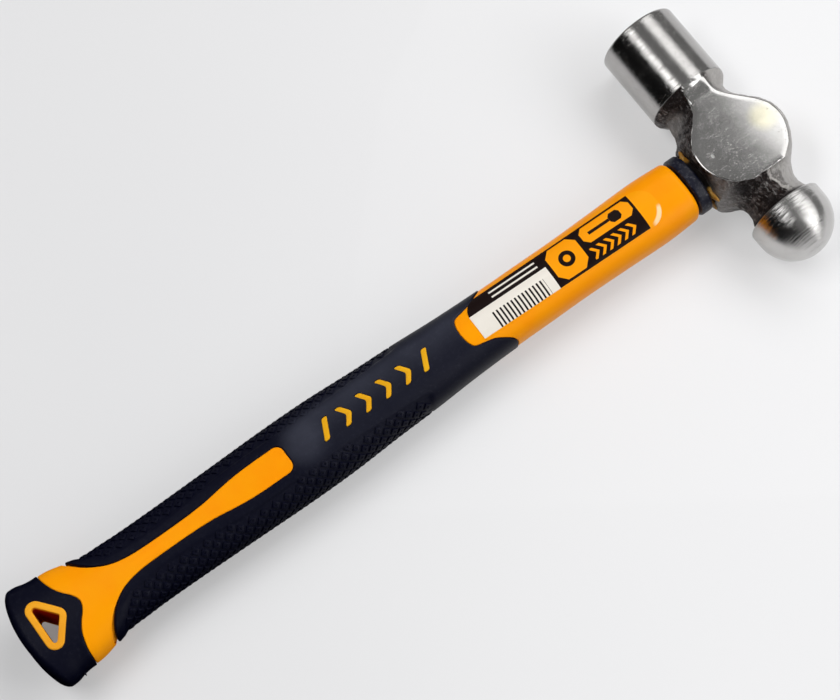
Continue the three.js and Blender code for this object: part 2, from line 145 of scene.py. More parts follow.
def edged(length: float, step: float) -> np.ndarray:
    """Spaces points along a length, closer together beside its two ends.

    Args:
        length: the whole length.
        step: spacing away from the ends.

    Returns:
        Distances from the start, from 0 to length.
    """
    inner = np.linspace(NEAR[-1], length - NEAR[-1], max(2, round(length / step)))
    return np.concatenate([NEAR[:-1], inner, [length - d for d in reversed(NEAR[:-1])]])


def quarter(steps: int) -> list[tuple[float, float]]:
    """Gives sine and cosine after each of some even steps of a quarter turn."""
    turns = [k / steps * QUARTER for k in range(1, steps + 1)]
    return [(math.sin(turn), math.cos(turn)) for turn in turns]


def lengths(points: np.ndarray) -> np.ndarray:
    """Gives the length along a line of points up to each of them."""
    return np.concatenate([[0], np.cumsum(np.linalg.norm(np.diff(points, axis=0), axis=1))])


def crossing(line: np.ndarray, y: np.ndarray) -> np.ndarray:
    """Gives the places at which a plan outline has a reach."""
    order = np.argsort(line[:, 1])
    return np.interp(y, line[order, 1], line[order, 0])


def edge_drop(distance: np.ndarray, radius: float) -> np.ndarray:
    """Gives how far a rounded edge lies below the skin at a distance from the outline."""
    left = np.clip(radius - distance, 0, radius)
    return radius - np.sqrt(radius**2 - left**2)


def distance_to(points: np.ndarray, line: np.ndarray) -> np.ndarray:
    """Measures how far plan points lie from a line of short segments.

    Args:
        points: plan points, any shape that ends in 2.
        line: the line's points, one row each.

    Returns:
        One distance for each point.
    """
    flat = points.reshape(-1, 2)
    best = np.full(len(flat), 1e9)
    for a, b in zip(line[:-1], line[1:]):
        along = b - a
        size = along @ along
        if size < 1e-12:
            continue
        t = np.clip(((flat - a) @ along) / size, 0, 1)
        best = np.minimum(best, np.linalg.norm(flat - a - t[:, None] * along, axis=1))
    return best.reshape(points.shape[:-1])


# ---- hand work


class Bench:
    """Hand operations on a mesh, done with bpy.ops."""

    @staticmethod
    def clear() -> None:
        """Leaves edit mode and deselects everything."""
        if bpy.context.mode != "OBJECT":
            bpy.ops.object.mode_set(mode="OBJECT")
        bpy.ops.object.select_all(action="DESELECT")

    @staticmethod
    def take(piece: Piece) -> None:
        """Makes one piece the only selected one, and the active one."""
        Bench.clear()
        piece.select_set(True)
        bpy.context.view_layer.objects.active = piece

    @staticmethod
    def edit(piece: Piece) -> None:
        """Takes a piece into edit mode, selected all over."""
        Bench.take(piece)
        bpy.ops.object.mode_set(mode="EDIT")
        bpy.ops.mesh.select_all(action="SELECT")

    @staticmethod
    def fresh(name: str) -> Piece:
        """Names the primitive that was just added and applies its place."""
        piece = bpy.context.object
        piece.name = name
        piece.data.name = name
        bpy.ops.object.transform_apply(location=True, rotation=True, scale=True)
        return piece

    @staticmethod
    def raw(piece: Piece) -> np.ndarray:
        """Reads a mesh's points as they stand in it."""
        flat = np.empty(len(piece.data.vertices) * 3)
        piece.data.vertices.foreach_get("co", flat)
        return flat.reshape(-1, 3)

    @staticmethod
    def places(piece: Piece) -> np.ndarray:
        """Reads a mesh's points, in the hammer's frame."""
        return Bench.raw(piece) / MM - DATUM

    @staticmethod
    def put(piece: Piece, places: np.ndarray) -> None:
        """Moves a mesh's points to places in the hammer's frame."""
        piece.data.vertices.foreach_set("co", ((places + DATUM) * MM).ravel())
        piece.data.update()

    @staticmethod
    def weld(piece: Piece, gap: float = 0.002) -> None:
        """Merges points that touch and turns all faces outward."""
        Bench.edit(piece)
        bpy.ops.mesh.remove_doubles(threshold=gap * MM)
        bpy.ops.mesh.normals_make_consistent(inside=False)
        bpy.ops.object.mode_set(mode="OBJECT")

    @staticmethod
    def face_out(piece: Piece) -> None:
        """Turns the faces of an open shell away from the handle's axis."""
        lean = 0.0
        for face in piece.data.polygons:
            at = np.array(face.center) / MM - DATUM
            lean += (face.normal.y * at[1] + face.normal.z * at[2]) * face.area
        if lean < 0:
            Bench.edit(piece)
            bpy.ops.mesh.flip_normals()
            bpy.ops.object.mode_set(mode="OBJECT")

    @staticmethod
    def sheet(name: str, places: np.ndarray) -> Piece:
        """Lays out a flat grid and wraps it to places.

        Args:
            name: the piece's name.
            places: rows by columns by 3, in the hammer's frame.

        Returns:
            The wrapped sheet.
        """
        rows, columns = places.shape[:2]
        Bench.clear()
        bpy.ops.mesh.primitive_grid_add(
            x_subdivisions=columns - 1, y_subdivisions=rows - 1, size=2, location=(0, 0, 0)
        )
        piece = Bench.fresh(name)
        share = (Bench.raw(piece) + 1) / 2
        column = np.rint(share[:, 0] * (columns - 1)).astype(int)
        row = np.rint(share[:, 1] * (rows - 1)).astype(int)
        Bench.put(piece, places[row, column])
        return piece

    @staticmethod
    def tube(name: str, rows: np.ndarray) -> Piece:
        """Wraps a sheet round into a tube and closes both ends.

        Args:
            name: the piece's name.
            rows: rings by points by 3, each ring's last point the same as its first.

        Returns:
            The closed body.
        """
        ends = [np.broadcast_to(row.mean(0), row.shape)[None] for row in (rows[0], rows[-1])]
        body = Bench.sheet(name, np.concatenate([ends[0], rows, ends[1]]))
        Bench.weld(body, 0.004)
        return body

    @staticmethod
    def drawn(
        name: str,
        axis: Axis,
        rings: Sequence[tuple[float, float, float]],
        points: int = 96,
        pole: bool = False,
    ) -> Piece:
        """Draws a round or oval body out ring by ring, along the handle or the head.

        Args:
            name: the piece's name.
            axis: the line that it is drawn along.
            rings: place along that line, then half width across it and half height, one row each.
            points: how many points a ring has.
            pole: whether the last ring runs together in one point.

        Returns:
            The closed body.
        """
        along = np.eye(3)[axis.value]
        across = (1, 0)[axis.value]
        Bench.clear()
        turn = (0, QUARTER, 0) if axis is Axis.HANDLE else (QUARTER, 0, 0)
        start = (DATUM + along * rings[0][0]) * MM
        bpy.ops.mesh.primitive_circle_add(
            vertices=points, radius=MM, fill_type="NGON", location=tuple(start), rotation=turn
        )
        piece = Bench.fresh(name)
        Bench.edit(piece)
        sizes = [1.0, 1.0]
        for k, (place, wide, high) in enumerate(rings):
            if k:
                step = along * (place - rings[k - 1][0]) * MM
                bpy.ops.mesh.extrude_region_move(TRANSFORM_OT_translate={"value": tuple(step)})
            scale = [1.0, 1.0, 1.0]
            scale[across] = wide / sizes[0]
            scale[2] = high / sizes[1]
            centre = tuple((DATUM + along * place) * MM)
            bpy.ops.transform.resize(value=scale, center_override=centre)
            sizes = [wide, high]
        if pole:
            bpy.ops.mesh.merge(type="CENTER")
        bpy.ops.object.mode_set(mode="OBJECT")
        Bench.weld(piece, 0.0005)
        return piece

    @staticmethod
    def plate(
        name: str, outline: np.ndarray, low: float, high: float, corner: float, edge: float
    ) -> Piece:
        """Cuts a flat plate to a plan outline, with round corners and a round top edge.

        Args:
            name: the piece's name.
            outline: plan points, in order.
            low: height of its underside.
            high: height of its top.
            corner: how far the corners are rounded, or 0.
            edge: how far the top edge is rounded, or 0.

        Returns:
            The plate.
        """
        Bench.clear()
        bpy.ops.mesh.primitive_circle_add(
            vertices=len(outline), radius=MM, fill_type="NGON", location=(0, 0, 0)
        )
        piece = Bench.fresh(name)
        Bench.put(piece, np.column_stack([outline, np.full(len(outline), low)]))
        Bench.edit(piece)
        if corner:
            bpy.ops.mesh.bevel(offset=corner * MM, segments=5, affect="VERTICES")
            bpy.ops.mesh.select_all(action="SELECT")
        bpy.ops.mesh.extrude_region_move(TRANSFORM_OT_translate={"value": (0, 0, (high - low) * MM)})
        if edge:
            bpy.ops.mesh.bevel(offset=edge * MM, segments=3, affect="EDGES")
        bpy.ops.object.mode_set(mode="OBJECT")
        Bench.weld(piece, 0.0005)
        return piece

    @staticmethod
    def finish_with(piece: Piece, kind: str, **settings: Any) -> None:
        """Adds a modifier with its settings and applies it."""
        Bench.take(piece)
        modifier = piece.modifiers.new(kind.title(), kind)
        for key, value in settings.items():
            setattr(modifier, key, value)
        bpy.ops.object.modifier_apply(modifier=modifier.name)

    @staticmethod
    def combine(piece: Piece, other: Piece, operation: str) -> None:
        """Joins, cuts or trims a piece with another, which is then removed."""
        Bench.finish_with(piece, "BOOLEAN", object=other, operation=operation, solver="EXACT")
        bpy.data.objects.remove(other)

    @staticmethod
    def joined(name: str, pieces: Sequence[Piece]) -> Piece:
        """Puts several meshes in one piece."""
        Bench.clear()
        for piece in pieces:
            piece.select_set(True)
        bpy.context.view_layer.objects.active = pieces[0]
        bpy.ops.object.join()
        pieces[0].name = name
        pieces[0].data.name = name
        return pieces[0]

    @staticmethod
    def copy(piece: Piece, places: np.ndarray) -> Piece:
        """Copies a piece with its own mesh, and moves the copy's points.

        Args:
            piece: the piece.
            places: the copy's points, in the hammer's frame.

        Returns:
            The copy.
        """
        twin = piece.copy()
        twin.data = piece.data.copy()
        bpy.context.scene.collection.objects.link(twin)
        Bench.put(twin, places)
        return twin

    @staticmethod
    def hand_in(
        piece: Piece, angle: float, slot: Slot, finish: Finish, *nodes: str
    ) -> Piece:
        """Shades a piece and gives it its material, its body and the nodes it stands for.

        Args:
            piece: the piece.
            angle: degrees above which an edge stays sharp.
            slot: the record's slot; not used.
            finish: its material.
            nodes: the part's nodes that it replaces.

        Returns:
            The piece.
        """
        Bench.take(piece)
        bpy.ops.object.shade_smooth_by_angle(angle=math.radians(angle))
        piece.data.materials.clear()
        piece.data.materials.append(finish)
        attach(piece, "root")
        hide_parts(*nodes)
        log.info("%s: %d faces", piece.name, len(piece.data.polygons))
        return piece


# ---- shader maths


class Term:
    """A socket that takes part in sums."""

    def __init__(self, graph: "Graph", socket: bpy.types.NodeSocket) -> None:
        """Keeps the socket and the graph that it belongs to."""
        self.graph = graph
        self.socket = socket

    def _with(self, operation: str, *others: Any) -> "Term":
        """Adds a Math node."""
        return self.graph.math(operation, self, *others)

    def __add__(self, other: Any) -> "Term":
        """Adds."""
        return self._with("ADD", other)

    __radd__ = __add__

    def __sub__(self, other: Any) -> "Term":
        """Subtracts."""
        return self._with("SUBTRACT", other)

    def __rsub__(self, other: Any) -> "Term":
        """Subtracts from a number."""
        return self.graph.math("SUBTRACT", other, self)

    def __mul__(self, other: Any) -> "Term":
        """Multiplies."""
        return self._with("MULTIPLY", other)

    __rmul__ = __mul__

    def __truediv__(self, other: Any) -> "Term":
        """Divides."""
        return self._with("DIVIDE", other)

    def __pow__(self, other: Any) -> "Term":
        """Raises to a power."""
        return self._with("POWER", other)

    def __abs__(self) -> "Term":
        """Drops the sign."""
        return self._with("ABSOLUTE")

    def least(self, other: Any) -> "Term":
        """Takes the smaller of two."""
        return self._with("MINIMUM", other)

    def most(self, other: Any) -> "Term":
        """Takes the larger of two."""
        return self._with("MAXIMUM", other)

    def repeat(self, pitch: float) -> "Term":
        """Runs to and fro between 0 and half the pitch."""
        return self._with("PINGPONG", pitch / 2)

    def rise(self, low: float, high: float) -> "Term":
        """Rises smoothly from 0 at low to 1 at high."""
        settings = {"interpolation_type": "SMOOTHSTEP"}
        node = self.graph.node(
            "ShaderNodeMapRange", settings, {"Value": self, "From Min": low, "From Max": high}
        )
        return self.graph.out(node, "Result")


class Graph:
    """The node tree of a material or a world, written down as expressions."""

    def __init__(self, name: str, world: bool = False) -> None:
        """Starts an empty material, or an empty world."""
        self.holder = (bpy.data.worlds if world else bpy.data.materials).new(name)
        self.holder.use_nodes = True
        self.tree = self.holder.node_tree
        self.tree.nodes.clear()
        self.coordinates: Term | None = None

    def node(self, kind: str, settings: dict[str, Any], inputs: dict[Any, Any]) -> bpy.types.Node:
        """Adds any node.

        Args:
            kind: the node's type.
            settings: its settings, set before its sockets.
            inputs: value or term for each socket, by name or number.

        Returns:
            The node.
        """
        node = self.tree.nodes.new(kind)
        for key, value in settings.items():
            setattr(node, key, value)
        for key, value in inputs.items():
            socket = node.inputs[key]
            if isinstance(value, Term):
                self.tree.links.new(value.socket, socket)
            else:
                socket.default_value = value
        return node

    def out(self, node: bpy.types.Node, key: Any = 0) -> Term:
        """Takes one output of a node as a term."""
        return Term(self, node.outputs[key])

    def math(self, operation: str, *values: Any) -> Term:
        """Adds a Math node on values."""
        node = self.node("ShaderNodeMath", {"operation": operation}, dict(enumerate(values)))
        return self.out(node)

    def here(
        self, turn: float = 0, shift: Sequence[float] = (0, 0, 0), scale: Sequence[float] = (1, 1, 1)
    ) -> Term:
        """Gives the place on the hammer, in millimetres in its own frame.

        Args:
            turn: degrees that the pattern is turned about z.
            shift: where the pattern's middle is.
            scale: how much the pattern is drawn out along each axis.

        Returns:
            The place as a vector.
        """
        if self.coordinates is None:
            node = self.node("ShaderNodeTexCoord", {}, {})
            inputs = {"Vector": self.out(node, "Object"), "Location": tuple(-DATUM)}
            inputs["Scale"] = (1 / MM,) * 3
            moved = self.node("ShaderNodeMapping", {"vector_type": "POINT"}, inputs)
            self.coordinates = self.out(moved)
        if not turn and not any(shift) and tuple(scale) == (1, 1, 1):
            return self.coordinates
        centred = self.node(
            "ShaderNodeVectorMath", {"operation": "SUBTRACT"}, {0: self.coordinates, 1: tuple(shift)}
        )
        turned = self.node(
            "ShaderNodeMapping",
            {"vector_type": "POINT"},
            {
                "Vector": self.out(centred),
                "Rotation": (0, 0, math.radians(turn)),
                "Scale": tuple(scale),
            },
        )
        return self.out(turned)

    def split(self, vector: Term) -> tuple[Term, Term, Term]:
        """Splits a vector in three."""
        node = self.node("ShaderNodeSeparateXYZ", {}, {0: vector})
        return self.out(node, 0), self.out(node, 1), self.out(node, 2)

    def grain(self, at: Term, scale: float, detail: float = 3, rough: float = 0.6) -> Term:
        """Adds a noise pattern and gives its value.

        Args:
            at: the place.
            scale: lumps for each millimetre.
            detail: how many finer layers it has.
            rough: how strong the finer layers are.

        Returns:
            The value, about 0.5 on average.
        """
        inputs = {"Vector": at, "Scale": scale, "Detail": detail, "Roughness": rough}
        return self.out(self.node("ShaderNodeTexNoise", {}, inputs))

    def rings(self, along: Term, scale: float) -> Term:
        """Adds a noise that runs along one value only, like the lines of a lathe."""
        inputs = {"W": along, "Scale": scale, "Detail": 1}
        return self.out(self.node("ShaderNodeTexNoise", {"noise_dimensions": "1D"}, inputs))

    def painted(self, name: str) -> Term:
        """Reads a value that was written on the mesh's points."""
        return self.out(self.node("ShaderNodeAttribute", {"attribute_name": name}, {}), "Fac")

    def cells(self, at: Term, scale: float) -> Term:
        """Adds a pattern of cells and gives the distance from their middles."""
        inputs = {"Vector": at, "Scale": scale}
        return self.out(self.node("ShaderNodeTexVoronoi", {}, inputs), "Distance")

    def blend(self, factor: Any, first: Any, second: Any) -> Term:
        """Mixes two colours.

        Args:
            factor: how much of the second.
            first: a colour.
            second: a colour.

        Returns:
            The mixed colour.
        """
        inputs = {0: factor, 6: first, 7: second}
        return self.out(self.node("ShaderNodeMix", {"data_type": "RGBA"}, inputs), 2)

    def relief(self, height: Term, depth: float = 1.0) -> Term:
        """Turns a height in millimetres, of which a share counts, into a bump."""
        inputs = {"Height": height, "Strength": 1.0, "Distance": depth * MM}
        return self.out(self.node("ShaderNodeBump", {}, inputs))

    def surface(
        self, colour: Any, roughness: Any, normal: Term, gloss: float = 0.5, metal: Any = 0.0
    ) -> Finish:
        """Ends the tree in a Principled shader.

        Args:
            colour: its colour.
            roughness: its roughness.
            normal: its bump.
            gloss: how strongly it mirrors where it isn't metal.
            metal: how far it is metal.

        Returns:
            The finished material.
        """
        inputs = {"Base Color": colour, "Roughness": roughness, "Normal": normal}
        inputs |= {"Specular IOR Level": gloss, "Metallic": metal}
        return self.end("ShaderNodeOutputMaterial", self.node("ShaderNodeBsdfPrincipled", {}, inputs))

    def end(self, kind: str, node: bpy.types.Node) -> Any:
        """Ends the tree in an output and gives its material or world."""
        self.tree.links.new(node.outputs[0], self.node(kind, {}, {}).inputs[0])
        return self.holder


def tone(red: float, green: float, blue: float) -> Colour:
    """Turns display values from 0 to 255 into a linear colour."""
    parts = [c / 255 for c in (red, green, blue)]
    linear = [p / 12.92 if p <= 0.04045 else ((p + 0.055) / 1.055) ** 2.4 for p in parts]
    return (*linear, 1.0)


def from_middle(across: Term, up: Term) -> Term:
    """Gives the distance from a middle by the two offsets from it."""
    return (across**2.0 + up**2.0) ** 0.5


# ---- finishes


@dataclass(frozen=True)
class HeadSteel:
    """Steel of the head: ground and turned where a tool reached it, forging scale elsewhere."""

    bright: Colour = tone(206, 205, 203)
    dull: Colour = tone(178, 176, 174)
    dark_scale_and_shade: Colour = tone(26, 21, 22)
    scale_middle: Colour = tone(92, 87, 86)
    pale_scale_and_sheen: Colour = tone(186, 183, 180)
    painted_glint: Colour = tone(204, 200, 196)
    brown: Colour = tone(92, 64, 46)
    turned_ball: float = 0.1
    turned_poll: float = 0.05
    # Painted highlight tint on the cheek, where a lamp's glint falls
    painted_glint_tint: Colour = tone(208, 204, 184)
    ball_centre: float = -31.9
    ball_radius: float = 14.25
    poll_starts: tuple[float, float] = (26.3, 26.7)
    ball_starts: tuple[float, float] = (-27.3, -27.0)
    web_middle: float = -21.0

    def material(self) -> Finish:
        """Builds the material."""
        g = Graph("head_steel")
        here = g.here()
        x, y, z = g.split(here)
        ground = g.painted("ground")
        # Lathe lines follow the poll's length and the ball's arc, and belt strokes cross the cheeks
        behind = (self.ball_centre - y).most(0.0)
        arc = g.math("ARCTAN2", from_middle(x, z).least(self.ball_radius), behind) * self.ball_radius
        turned = g.rings(arc + (y - self.ball_centre).most(0.0), 3.6)
        poll = y.rise(*self.poll_starts)
        turned_zone = (poll + (1 - y.rise(*self.ball_starts))).least(1.0)
        strokes = g.grain(g.here(turn=28, scale=(0.22, 4.0, 1.0)), 1.0)
        lumps = g.grain(here, 0.45, 6, 0.62)
        crust = g.grain(here, 2.4, 5, 0.72)
        pits = g.cells(here, 1.7).rise(0.05, 0.35)
        streaks = g.grain(g.here(scale=(1.0, 0.3, 1.0)), 1.3, 4, 0.65)
        # Polished metal with a painted warm highlight tint where a lamp's glint falls, a few brown
        # specks, fine scratches and one nick
        polish = g.blend(g.grain(here, 0.12), self.dull, self.bright)
        polish = g.blend(poll * 0.26, polish, self.scale_middle)
        polish = g.blend(1 - from_middle(x - 11.5, y - 1.0).rise(2.0, 7.0), polish, self.painted_glint_tint)
        speck = g.grain(g.here(turn=-35, scale=(0.7, 1.6, 1.2)), 1.6, 4, 0.75).rise(0.6, 0.68)
        patches = g.grain(here, 0.13).rise(0.46, 0.6)
        scratch = g.grain(g.here(turn=52, scale=(0.16, 5.0, 1.0)), 1.0, 2, 0.6).rise(0.7, 0.74)
        nick = 1 - (((x + 11.4) * 1.6) ** 2.0 + (y + 0.6) ** 2.0).rise(0.3, 0.9)
        specks = speck * patches
        marks = specks.most(scratch * 0.3 * (1 - turned_zone)).most(nick)
        polish = g.blend(specks * 0.75, polish, self.brown)
        # Forging scale, with painted shade in the hollows, painted sheen on parts of the web, side
        # walls that are paler partly by painted light, and a painted highlight along the web's crest
        scale = g.blend(lumps.rise(0.46, 0.62), self.dark_scale_and_shade, self.scale_middle)
        scale = g.blend(crust.rise(0.52, 0.62) * 0.3, scale, self.brown)
        scale = g.blend(streaks.rise(0.54, 0.66) * 0.5, scale, self.pale_scale_and_sheen)
        # Painted sheen: a pale patch on the web by the poll, and paler toward the skirt on the ball's
        # side
        painted_sheen = 1 - from_middle(x + 12.0, y - 19.5).rise(1.5, 5.0)
        painted_sheen = painted_sheen.most((1 - x.rise(-17.0, -9.0)) * (1 - y.rise(-9.0, -3.0)))
        scale = g.blend(painted_sheen * (0.2 + streaks * 0.5), scale, self.pale_scale_and_sheen)
        web = 1 - abs(y - self.web_middle).rise(4.5, 7.5)
        ridge = x - 1.0 + (y + 17.0) * 0.3 + (g.grain(here, 0.3) - 0.5) * 7.0
        # The side walls are paler, partly their own smoother scale and partly painted light where
        # they face the lamp
        wall = x.rise(4.0, 8.0).most(web * ridge.rise(0.0, 2.5)) * (1 - abs(z).rise(13.0, 14.5))
        scale = g.blend(wall * (0.6 + streaks * 0.5), scale, self.pale_scale_and_sheen)
        # Painted highlight along the web's crest
        painted_crest_highlight = 1 - (abs(ridge) + crust * 1.5).rise(0.9, 2.0)
        scale = g.blend(painted_crest_highlight * web * 0.9, scale, self.painted_glint)
        # Painted shade in the forged hollows and under the ball's flange, read from the mesh
        scale = g.blend(g.painted("painted_hollow_shade"), scale, self.dark_scale_and_shade)
        # Painted glints: small bright specks on the crust
        glints = g.cells(here, 1.3).rise(0.04, 0.16)
        scale = g.blend((1 - glints) * crust.rise(0.45, 0.6) * 0.8, scale, self.painted_glint)
        colour = g.blend(ground, scale, polish)
        smear = g.grain(here, 0.35, 4, 0.6)
        roughness = (0.12 + smear * 0.08 + marks * 0.3) * ground + (0.26 + crust * 0.2) * (1 - ground)
        depth = y.rise(-1.0, 1.0) * (self.turned_poll - self.turned_ball) + self.turned_ball
        lines = turned * turned_zone * depth + strokes * (1 - turned_zone) * 0.006 - marks * 0.03
        height = lines * ground + (lumps * 0.5 + crust * 0.3 + pits * 0.12) * (1 - ground)
        return g.surface(colour, roughness, g.relief(height), metal=0.75 + ground * 0.25)


@dataclass(frozen=True)
class MouldedPlastic:
    """Plain moulded plastic with a faint skin, cloudy colour and small scuffs, and where given
    painted shade deep in the hang hole.
    """

    name: str
    colour: Colour
    deep: Colour
    roughness: float = 0.34
    skin: float = 0.02
    scuffs: float = 0.5
    gloss: float = 0.1
    # Colour of the painted shade deep in the hang hole, or none
    inside: Colour | None = None

    def material(self) -> Finish:
        """Builds the material."""
        g = Graph(self.name)
        here = g.here()
        cloud = g.grain(here, 0.06, 4, 0.55)
        fine = g.grain(here, 2.2)
        scratch = g.grain(g.here(turn=38, scale=(0.5, 7.0, 1.0)), 1.0, 2, 0.5).rise(0.7, 0.78)
        colour = g.blend(cloud.rise(0.3, 0.75), self.colour, self.deep)
        if self.inside is not None:
            # Painted shade: deep in the hang hole, below the rim, the liner is coloured dark red
            colour = g.blend(1 - abs(g.split(here)[2]).rise(7.5, 9.0), colour, self.inside)
        roughness = self.roughness + (fine - 0.5) * 0.12 + scratch * 0.18 * self.scuffs
        height = fine * self.skin + scratch * -0.02 * self.scuffs
        return g.surface(colour, roughness, g.relief(height), self.gloss)


@dataclass(frozen=True)
class GripRubber:
    """Soft black rubber with a matt skin, dusty wear and a painted sheen on the grip's smooth strip.
    """

    name: str = "grip_rubber"
    colour: Colour = tone(3, 4, 20)
    # Pale colour for dusty wear, also used for the painted sheen
    dust_and_sheen: Colour = tone(54, 56, 68)
    roughness: float = 0.42
    gloss: float = 0.14
    wear: float = 0.3

    def material(self) -> Finish:
        """Builds the material."""
        g = Graph(self.name)
        here = g.here()
        fine = g.grain(here, 5.0)
        cloud = g.grain(here, 0.09, 4, 0.6)
        dusty = g.grain(here, 0.8, 5, 0.7).rise(0.5, 0.75)
        x, y, _ = g.split(here)
        # Painted sheen: the smooth strip ahead of the stripe is painted paler, most of all toward its
        # upper edge and just ahead of the stripe
        strip = x.rise(-192.0, -180.0) * (1 - x.rise(-118.0, -104.0)) * (1 - abs(y).rise(6.0, 12.0))
        ahead = 1 - from_middle(x + 183.0, y * 1.2).rise(3.0, 11.0)
        painted_sheen = (strip * (0.16 + y.rise(-4.0, 9.0) * 0.5) + ahead * 0.5) * (0.6 + cloud * 0.8)
        colour = g.blend((dusty * cloud * self.wear + painted_sheen).least(1.0), self.colour, self.dust_and_sheen)
        roughness = self.roughness + (cloud - 0.5) * 0.16 + (fine - 0.5) * 0.1
        return g.surface(colour, roughness, g.relief(fine, 0.03), self.gloss)


@dataclass(frozen=True)
class CuredResin:
    """Amber resin with bubbles, half clear, and painted shade where it lies in the gap behind the
    skirt.
    """

    colour: Colour = tone(176, 118, 32)
    pale: Colour = tone(214, 168, 84)
    shaded: Colour = tone(24, 18, 16)

    def material(self) -> Finish:
        """Builds the material."""
        g = Graph("cured_resin")
        here = g.here()
        cloud = g.grain(here, 0.7, 5, 0.6)
        bubbles = g.cells(here, 1.8).rise(0.1, 0.3)
        colour = g.blend(cloud.rise(0.35, 0.7), self.colour, self.pale)
        # Painted shade: in the narrow gap behind the skirt the resin is near black, and only the two
        # drops and the part in the eye keep their amber colour
        x, y, z = g.split(here)
        out = from_middle(y / 7.4, z / 4.6)
        clear = out.rise(1.12, 1.32).most(x.rise(-14.0, -10.0))
        colour = g.blend(clear, self.shaded, colour)
        return g.surface(colour, 0.24 + cloud * 0.2, g.relief(cloud * 0.5 + bubbles * 0.2, 0.5))


@dataclass(frozen=True)
class PultrudedGlass:
    """Glass fibres in resin, drawn along the rod."""

    pale: Colour = tone(222, 210, 164)
    deep: Colour = tone(178, 158, 98)

    def material(self) -> Finish:
        """Builds the material."""
        g = Graph("pultruded_glass")
        fibres = g.grain(g.here(scale=(0.08, 6.0, 6.0)), 1.0, 4, 0.6)
        colour = g.blend(fibres.rise(0.3, 0.7), self.deep, self.pale)
        return g.surface(colour, 0.45 + fibres * 0.15, g.relief(fibres, 0.06))


@dataclass(frozen=True)
class LabelPrint:
    """Printed film: dark ground, plain panels, ruled bars and arrowheads, and a clear front end."""

    ground: Colour = tone(20, 9, 8)
    panel: Colour = tone(255, 160, 8)
    paper: Colour = tone(236, 230, 220)
    clear: Colour = tone(255, 162, 4)
    glint: Colour = tone(255, 236, 190)
    turn: float = 1.25
    middle: tuple[float, float] = (-78.0, 0.9)

    def material(self) -> Finish:
        """Builds the material."""
        g = Graph("label_print")
        x, y, _ = g.split(g.here(turn=self.turn, shift=(*self.middle, 0)))

        def block(x0: float, x1: float, y0: float, y1: float, cut: float = 0.0) -> Term:
            """Masks an upright block with cut corners."""
            wide, high = (x1 - x0) / 2, (y1 - y0) / 2
            dx = abs(x - (x0 + x1) / 2)
            dy = abs(y - (y0 + y1) / 2)
            out = (dx - wide).most(dy - high)
            if cut:
                out = out.most((dx + dy - (wide + high - cut)) * 0.7)
            return 1 - out.rise(-0.06, 0.06)

        colour = g.blend(block(-35.5, 35.0, -7.5, 7.6), self.clear, self.ground)
        # White panel with plain ruled lines, the same all along
        ruled = 1 - x.repeat(1.5).rise(0.28, 0.4)
        colour = g.blend(block(-35.5, -2.9, -7.5, 1.6), colour, self.paper)
        colour = g.blend(ruled * block(-27.6, -6.2, -7.5, -1.4), colour, self.ground)
        for shift in (0.0, 2.0):
            colour = g.blend(block(-24.0, -5.0, 3.0 + shift, 3.7 + shift), colour, self.paper)
        # Panel with a plain ring, long panel with a bar and a block, and a row of arrowheads
        colour = g.blend(block(-1.4, 11.2, -6.6, 6.4, 2.6), colour, self.panel)
        out = from_middle(x - 4.9, y + 0.1)
        colour = g.blend((1 - out.rise(2.9, 3.0)) * out.rise(1.3, 1.4), colour, self.ground)
        colour = g.blend(block(13.2, 34.0, -0.2, 6.4, 1.8), colour, self.panel)
        colour = g.blend(block(16.2, 25.0, 2.5, 3.7), colour, self.ground)
        colour = g.blend(block(25.0, 29.6, 1.1, 5.1, 1.0), colour, self.ground)
        for k in range(6):
            lean = x + abs(y + 4.0) * 0.9 - (15.2 + 3.1 * k)
            head = (1 - (abs(lean) - 0.65).rise(-0.06, 0.06)) * block(13.0, 33.4, -6.2, -1.8)
            colour = g.blend(head, colour, self.panel)
        # Painted highlight: a glint along the rim of the film's clear end
        rim = (from_middle(x - 34.6, y) - 7.1).rise(-0.5, -0.1)
        painted_rim_glint = rim * x.rise(36.0, 38.0) * (1 - y.rise(-3.4, -1.6))
        colour = g.blend(painted_rim_glint * 0.75, colour, self.glint)
        fine = g.grain(g.here(), 1.6)
        return g.surface(colour, 0.3 + fine * 0.08, g.relief(fine, 0.008), gloss=0.12)


